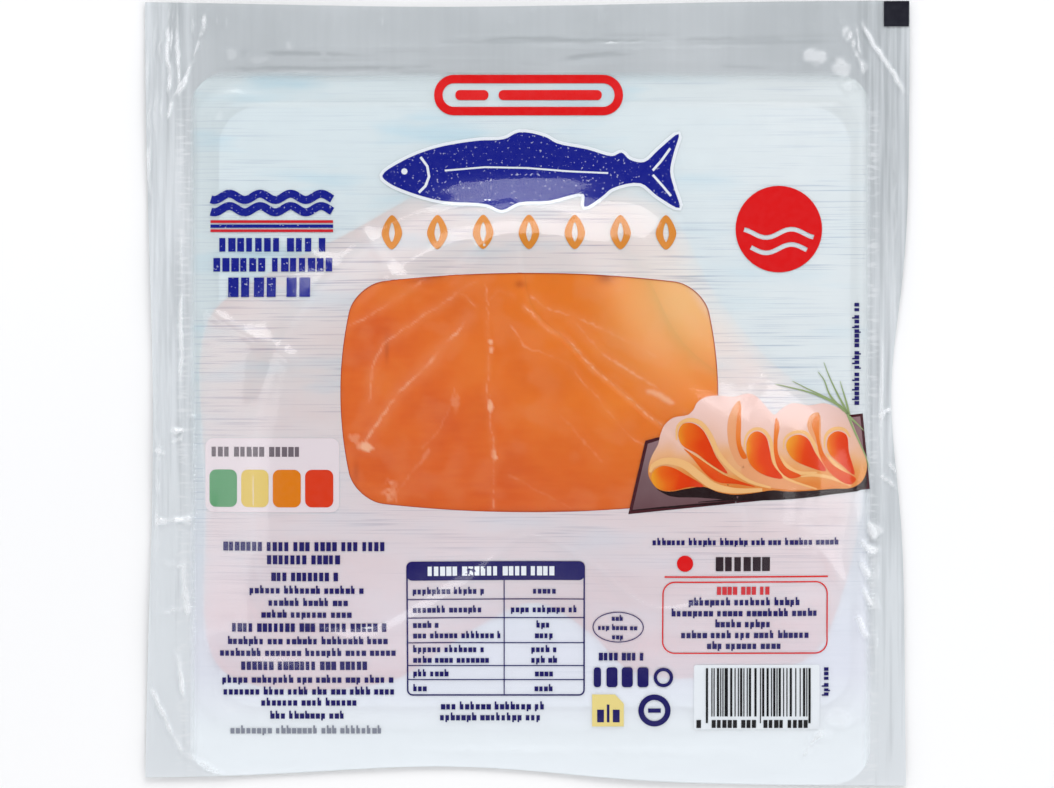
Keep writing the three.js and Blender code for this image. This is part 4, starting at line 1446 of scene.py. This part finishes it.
# Ruled table
# A blue frame with a solid head, ruled rows and a column rule, printed in one ink. Short
# groups of marks stand in the rows and under the frame, and white ones in the head.
TABLE_FRAME, TABLE_LINE = (-28.4, -71.3, 13.5, -39.5, 1.4), 0.35
TABLE_HEAD = (-28.2, -44.0, 13.3, -39.7, 1.2)
HEAD_ENTRY = (-23.4, 7.2, -41.8, 2.2)
ROW_RULES = (-48.5, -52.9, -58.8, -64.2, -67.5)
COLUMN_RULE, RULE_HALF = -5.5, 0.12
# The entries' left end, middle and height; then each row's place up the pack and the lengths
# of its two entries
ENTRY_LEFT, ENTRY_CENTRE, ENTRY_HEIGHT = -26.9, 4.1, 1.7
TABLE_ENTRIES = [
    (-46.4, 16.5, 5.6), (-50.8, 16.5, 16.0), (-54.4, 5.9, 4.0), (-56.9, 20.5, 4.7), (-60.2, 16.7, 6.4),
    (-62.7, 18.4, 6.4), (-65.9, 8.7, 4.7), (-69.4, 3.1, 4.9),
]
TABLE_NOTES = [(-20.4, 4.1, -73.6, 1.9), (-20.6, 3.8, -76.2, 1.9)]

table = [framed(TABLE_FRAME, TABLE_LINE), rounded_ring(*TABLE_HEAD)]
table += [box(TABLE_FRAME[0], y - RULE_HALF, TABLE_FRAME[2], y + RULE_HALF) for y in ROW_RULES]
table.append(box(COLUMN_RULE - RULE_HALF, TABLE_FRAME[1], COLUMN_RULE + RULE_HALF, TABLE_HEAD[1]))
for y, first, second in TABLE_ENTRIES:
    table += word_marks(draw, ENTRY_LEFT, ENTRY_LEFT + first, y, ENTRY_HEIGHT)
    table += word_marks(draw, ENTRY_CENTRE - second / 2, ENTRY_CENTRE + second / 2, y, ENTRY_HEIGHT)
for line in TABLE_NOTES:
    table += word_marks(draw, *line)
ink_piece("print_table", table, text_ink)
ink_piece("print_table_head", word_marks(draw, *HEAD_ENTRY, capitals=True), white_ink,
          OVERPRINT_UNDER_FILM)

# Oval, blocks and round marks
# Between the table and the striped field: an oval outline, a row of bold blue blocks with a
# ring, a yellow square with a cut corner, and a heavy blue ring with a bar across it.
OVAL_CENTRE, OVAL_HALF, OVAL_LINE = (21.3, -55.1), (6.0, 3.65), 0.22
OVAL_MARKS = [(19.8, 22.8, -52.9, 1.4), (16.6, 26.0, -55.1, 1.4), (19.9, 22.7, -57.3, 1.4)]
SMALL_NOTE = (16.8, 27.2, -62.1, 1.8)
WEIGHT_BLOCKS = [(15.6, 1.7), (18.6, 2.6), (22.2, 2.6), (25.9, 2.6)]
WEIGHT_LOW, WEIGHT_HIGH, WEIGHT_CORNER, WEIGHT_CORNER_STEPS = -69.3, -64.6, 0.7, 4
WEIGHT_RING, RING_OUTER, RING_INNER = (32.0, -67.0), 2.3, 1.5
SQUARE_CORNERS = [(15.2, -78.6), (22.7, -78.6), (22.7, -73.2), (20.6, -71.0), (15.2, -71.0)]
SQUARE_MARKS = [(16.4, -77.6, 18.0, -74.6), (18.7, -77.6, 19.3, -73.4), (20.1, -77.6, 21.7, -74.6)]
# A ring's two outlines: radius and steps
ROUND_MARK, ROUND_OUTLINES = (29.9, -74.8), [(3.8, 40), (2.5, 32)]
ROUND_BAR = (28.4, -75.3, 31.4, -74.3)

oval_hole = (OVAL_HALF[0] - OVAL_LINE, OVAL_HALF[1] - OVAL_LINE)
small_marks = [[disc(OVAL_CENTRE, *half, LARGE_DISC_STEPS) for half in (OVAL_HALF, oval_hole)]]
for line in OVAL_MARKS:
    small_marks += word_marks(draw, *line)
small_marks += word_marks(draw, *SMALL_NOTE, capitals=True)
small_marks += [rounded_ring(x, WEIGHT_LOW, x + width, WEIGHT_HIGH, WEIGHT_CORNER, WEIGHT_CORNER_STEPS)
                for x, width in WEIGHT_BLOCKS]
small_marks.append([disc(WEIGHT_RING, RING_OUTER), disc(WEIGHT_RING, RING_INNER)])
small_marks.append([disc(ROUND_MARK, radius, steps=steps) for radius, steps in ROUND_OUTLINES])
small_marks += [box(*ROUND_BAR)] + [box(*mark) for mark in SQUARE_MARKS]
ink_piece("print_small_marks", small_marks, text_ink, OVERPRINT_UNDER_FILM)
ink_piece("print_yellow_square", [np.array(SQUARE_CORNERS)], ink_material("yellow_flexo_ink", "#efdc8e"))

# Lines in the red frame
# A bold dark heading of marks beside the small red disc, and six lines of marks inside the
# red frame, the first of them red.
ADDRESS_HEADING = (44.1, 58.7, -40.1, 3.3)
ADDRESS_LINES = [
    (37.8, 64.4, -48.9, 1.9), (33.8, 68.6, -51.5, 1.9), (44.1, 57.6, -54.1, 1.9), (36.1, 66.0, -56.7, 1.9),
    (42.2, 59.4, -59.3, 1.9),
]
ADDRESS_FIRST = (44.4, 57.5, -46.4, 1.9)

ink_piece("print_address_heading", word_marks(draw, *ADDRESS_HEADING, capitals=True),
          ink_material("dark_brown_ink", "#2e2028"))
address = []
for line in ADDRESS_LINES:
    address += word_marks(draw, *line)
ink_piece("print_address", address, text_ink)
ink_piece("print_address_first", word_marks(draw, *ADDRESS_FIRST, capitals=True),
          ink_material("red_text_ink", "#d4313a"))

# Striped field
# A white field with upright black stripes of seeded widths, in steps of 0.26 mm, printed
# over the ground. A few guard stripes reach lower, and small marks stand between them.
CODE_FIELD = (39.2, -79.3, 68.8, -64.0, 0.6)
CODE_LEFT, CODE_RIGHT, CODE_TOP, CODE_FOOT, GUARD_FOOT = 42.0, 67.2, -64.8, -76.2, -77.8
CODE_STEP = 0.26
CODE_SEED = 17
STRIPE_WIDTHS, STRIPE_GAPS = [1, 1, 1, 2, 2, 3], [1, 1, 2, 2, 3]
CODE_MARKS, MARKS_MIDDLE, MARKS_HEIGHT = [(39.8, 41.3), (43.4, 53.6), (55.6, 65.8)], -78.0, 1.9
# The steps at which the longer guard stripes begin and end
GUARDS = ((0, 3), (45, 50), (92, 97))

draw = np.random.default_rng(CODE_SEED)
stripes, step = [], 0
while CODE_LEFT + step * CODE_STEP < CODE_RIGHT - CODE_STEP:
    wide = int(draw.choice(STRIPE_WIDTHS))
    foot = GUARD_FOOT if any(low <= step <= high for low, high in GUARDS) else CODE_FOOT
    left = CODE_LEFT + step * CODE_STEP
    stripes.append(box(left, foot, min(left + wide * CODE_STEP, CODE_RIGHT), CODE_TOP))
    step += wide + int(draw.choice(STRIPE_GAPS))
for left, right in CODE_MARKS:
    stripes += word_marks(draw, left, right, MARKS_MIDDLE, MARKS_HEIGHT, capitals=True)
ink_piece("print_code_field", [rounded_ring(*CODE_FIELD)], white_ink, HALO_UNDER_FILM)
ink_piece("print_code_stripes", stripes, ink_material("black_flexo_ink", "#100c12"),
          OVERPRINT_UNDER_FILM)

# Eye mark
# A black square in the top right corner, which the packing machine's eye reads to cut the
# web in step. It is printed on the bottom web, out in the seal.
EYE_MARK = (84.0, 86.4, 90.0, 92.4)

eye_ring = np.column_stack(pulled(*spread_ring(box(*EYE_MARK), INK_SPACING).T))
ink_piece("print_eye_mark", [eye_ring], ink_material("black_mark_ink", "#1a1a26"))

# Top film
# Clear film with a hard gloss, drawn down by the vacuum over the card and the slices and
# sealed to the web all round. It is the pack's outer skin, and every highlight sits on it.
# Fine level wrinkles, 1 mm apart, run up the panel's slopes at the sides.
WRINKLE_SPACING = 1.0
WRINKLE_FADE = 8.0
STRAIN_WHITE_AND_HIGHLIGHT, STRAIN_START, STRAIN_RANGE = 0.45, 0.16, 0.30
# The runs of wrinkles: middle and half width across the pack, and their two ends up the pack
WRINKLE_RUNS = [(-78.5, 2.0, -71.0, 1.0), (81.0, 2.0, -58.0, -34.0)]

# Clear film of refractive index 1.5: it mirrors a little of the light straight on and
# more at a slant, alike from above and below, so that little light is lost on the way down.
FILM_REFLECTANCE = 0.042
FILM_RELIEF = 0.15
ORANGE_PEEL_SIZE, ORANGE_PEEL_SHARE = 2.86, 0.25
film_material, tree = new_material("clear_gloss_film")
ticks = add(tree, "Attribute", attribute_name="wrinkles")
place = add(tree, "TexCoord").outputs["Object"]
in_mm = add(tree, "VectorMath", {0: place, 1: (1000, 1000, 0)}, operation="MULTIPLY").outputs[0]
waves = add(tree, "TexWave", {
    "Vector": in_mm, "Scale": 2 * math.pi / WRINKLE_SPACING / 20, "Distortion": 1.5, "Detail": 1.0,
}, bands_direction="Y")
ticked = add(tree, "Math", {0: waves.outputs["Fac"], 1: ticks.outputs["Fac"]}, operation="MULTIPLY")
orange_peel = add(tree, "TexNoise", {"Vector": in_mm, "Scale": 1 / ORANGE_PEEL_SIZE, "Detail": 2.0})
relief = add(tree, "Math", {0: orange_peel, 1: ORANGE_PEEL_SHARE, 2: ticked}, operation="MULTIPLY_ADD")
bump = add(tree, "Bump", {"Height": relief, "Distance": FILM_RELIEF * MM, "Strength": 1.0})
facing = add(tree, "LayerWeight", {"Blend": 0.5, "Normal": bump})
grazing = add(tree, "Math", {0: facing.outputs["Facing"], 1: 5.0}, operation="POWER")
mirror = add(tree, "MapRange", {0: grazing, 3: FILM_REFLECTANCE, 4: 1.0})
gloss = add(tree, "BsdfAnisotropic", {"Color": (1, 1, 1, 1), "Roughness": 0.12, "Normal": bump})
clear = add(tree, "BsdfTransparent", {"Color": (0.99, 0.995, 1, 1)})
skin = add(tree, "MixShader", {0: mirror, 1: clear, 2: gloss})
# Sharp folds are white: partly strain whitening, partly painted highlight, mixed in as a white diffuse skin
crease_white_and_highlight = add(tree, "Attribute", attribute_name="crease_white_and_highlight")
whitening_and_highlight_shader = add(tree, "BsdfDiffuse", {"Color": WHITENING_AND_HIGHLIGHT})
strained_and_highlit = add(tree, "MixShader", {0: crease_white_and_highlight.outputs["Fac"], 1: skin, 2: whitening_and_highlight_shader})
add(tree, "OutputMaterial", {"Surface": strained_and_highlit})


def wrinkles_at(x, y):
    """Where the fine wrinkles are, from 0 to 1"""
    wrinkles = np.zeros(np.shape(x))
    for middle, half_width, low, high in WRINKLE_RUNS:
        across = smooth_rise(1.0 - np.abs(x - middle) / half_width)
        along = smooth_rise((y - low) / WRINKLE_FADE) * smooth_rise((high - y) / WRINKLE_FADE)
        wrinkles = np.maximum(wrinkles, across * along)
    return wrinkles


def crease_white_and_highlight_at(x, y):
    """Sharp folds turn white, from 0 to 1: partly strain whitening, partly painted highlight"""
    return STRAIN_WHITE_AND_HIGHLIGHT * smooth_rise((border_relief(x, y) - STRAIN_START) / STRAIN_RANGE)


film_flat, film_cells = grid(FILM_LINES, lambda x, y: np.full(x.shape, True))
film_points = np.column_stack([film_flat, film_height(*film_flat.T)])
film = mesh_piece("top_film", film_points, film_cells.tolist(), film_material)
mark_points(film, "wrinkles", wrinkles_at)
mark_points(film, "crease_white_and_highlight", crease_white_and_highlight_at)
fasten(film)

# Studio
# A white table under soft boxes: one behind the pack's top edge, a weak one at each side and
# one in front. Straight above it is left dim, so that level film shows what is below.
FLOOR_SIZE = 2100.0
FLOOR_DROP = 0.05
SOFT_BOXES = [
    ("soft_box_back", (120.0, 880.0, 640.0), (1200.0, 620.0), 8.0),
    ("soft_box_left", (-1050.0, 60.0, 360.0), (420.0, 1200.0), 2.4),
    ("soft_box_right", (1050.0, 0.0, 340.0), (420.0, 1200.0), 2.8),
    ("soft_box_front", (0.0, -1050.0, 380.0), (1600.0, 600.0), 6.4),
]
HORIZON_LIGHT, ZENITH_LIGHT = 1.25, 0.16

floor_material, tree = new_material("white_laminate_table")
place = add(tree, "TexCoord").outputs["Object"]
clouds = add(tree, "TexNoise", {"Vector": place, "Scale": 3.0, "Detail": 2.0})
colour = add(tree, "ValToRGB", {0: clouds}, stops=[
    (0.3, hex_colour("#f6f6f7")), (0.7, hex_colour("#fafafa"))])
shader = add(tree, "BsdfPrincipled", {"Base Color": colour, "Roughness": 0.7})
add(tree, "OutputMaterial", {"Surface": shader})
half_floor = FLOOR_SIZE / 2
table_corners = [(*corner, -FLOOR_DROP) for corner in box(-half_floor, -half_floor, half_floor, half_floor)]
table_top = mesh_piece("table", table_corners, [(0, 1, 2, 3)], floor_material)

for name, place, size, watts in SOFT_BOXES:
    light_data = bpy.data.lights.new(name, "AREA")
    light_data.shape = "RECTANGLE"
    light_data.size, light_data.size_y = size[0] * MM, size[1] * MM
    light_data.energy = watts
    light = bpy.data.objects.new(name, light_data)
    light.location = Vector(place) * MM
    light.rotation_euler = (-light.location).to_track_quat("-Z", "Y").to_euler()
    scene.collection.objects.link(light)

# White walls all round, brightest low down, and a dim ceiling
world = bpy.data.worlds.new("studio")
world.use_nodes = True
tree = world.node_tree
up = add(tree, "SeparateXYZ", {0: add(tree, "TexCoord").outputs["Generated"]}).outputs[2]
light_level = add(tree, "MapRange", {0: up, 1: 0.0, 2: 1.0, 3: HORIZON_LIGHT, 4: ZENITH_LIGHT})
tree.links.new(light_level.outputs[0], tree.nodes["Background"].inputs["Strength"])
tree.nodes["Background"].inputs["Color"].default_value = hex_colour("#fbfcff")
scene.world = world
scene.view_settings.view_transform = "Standard"
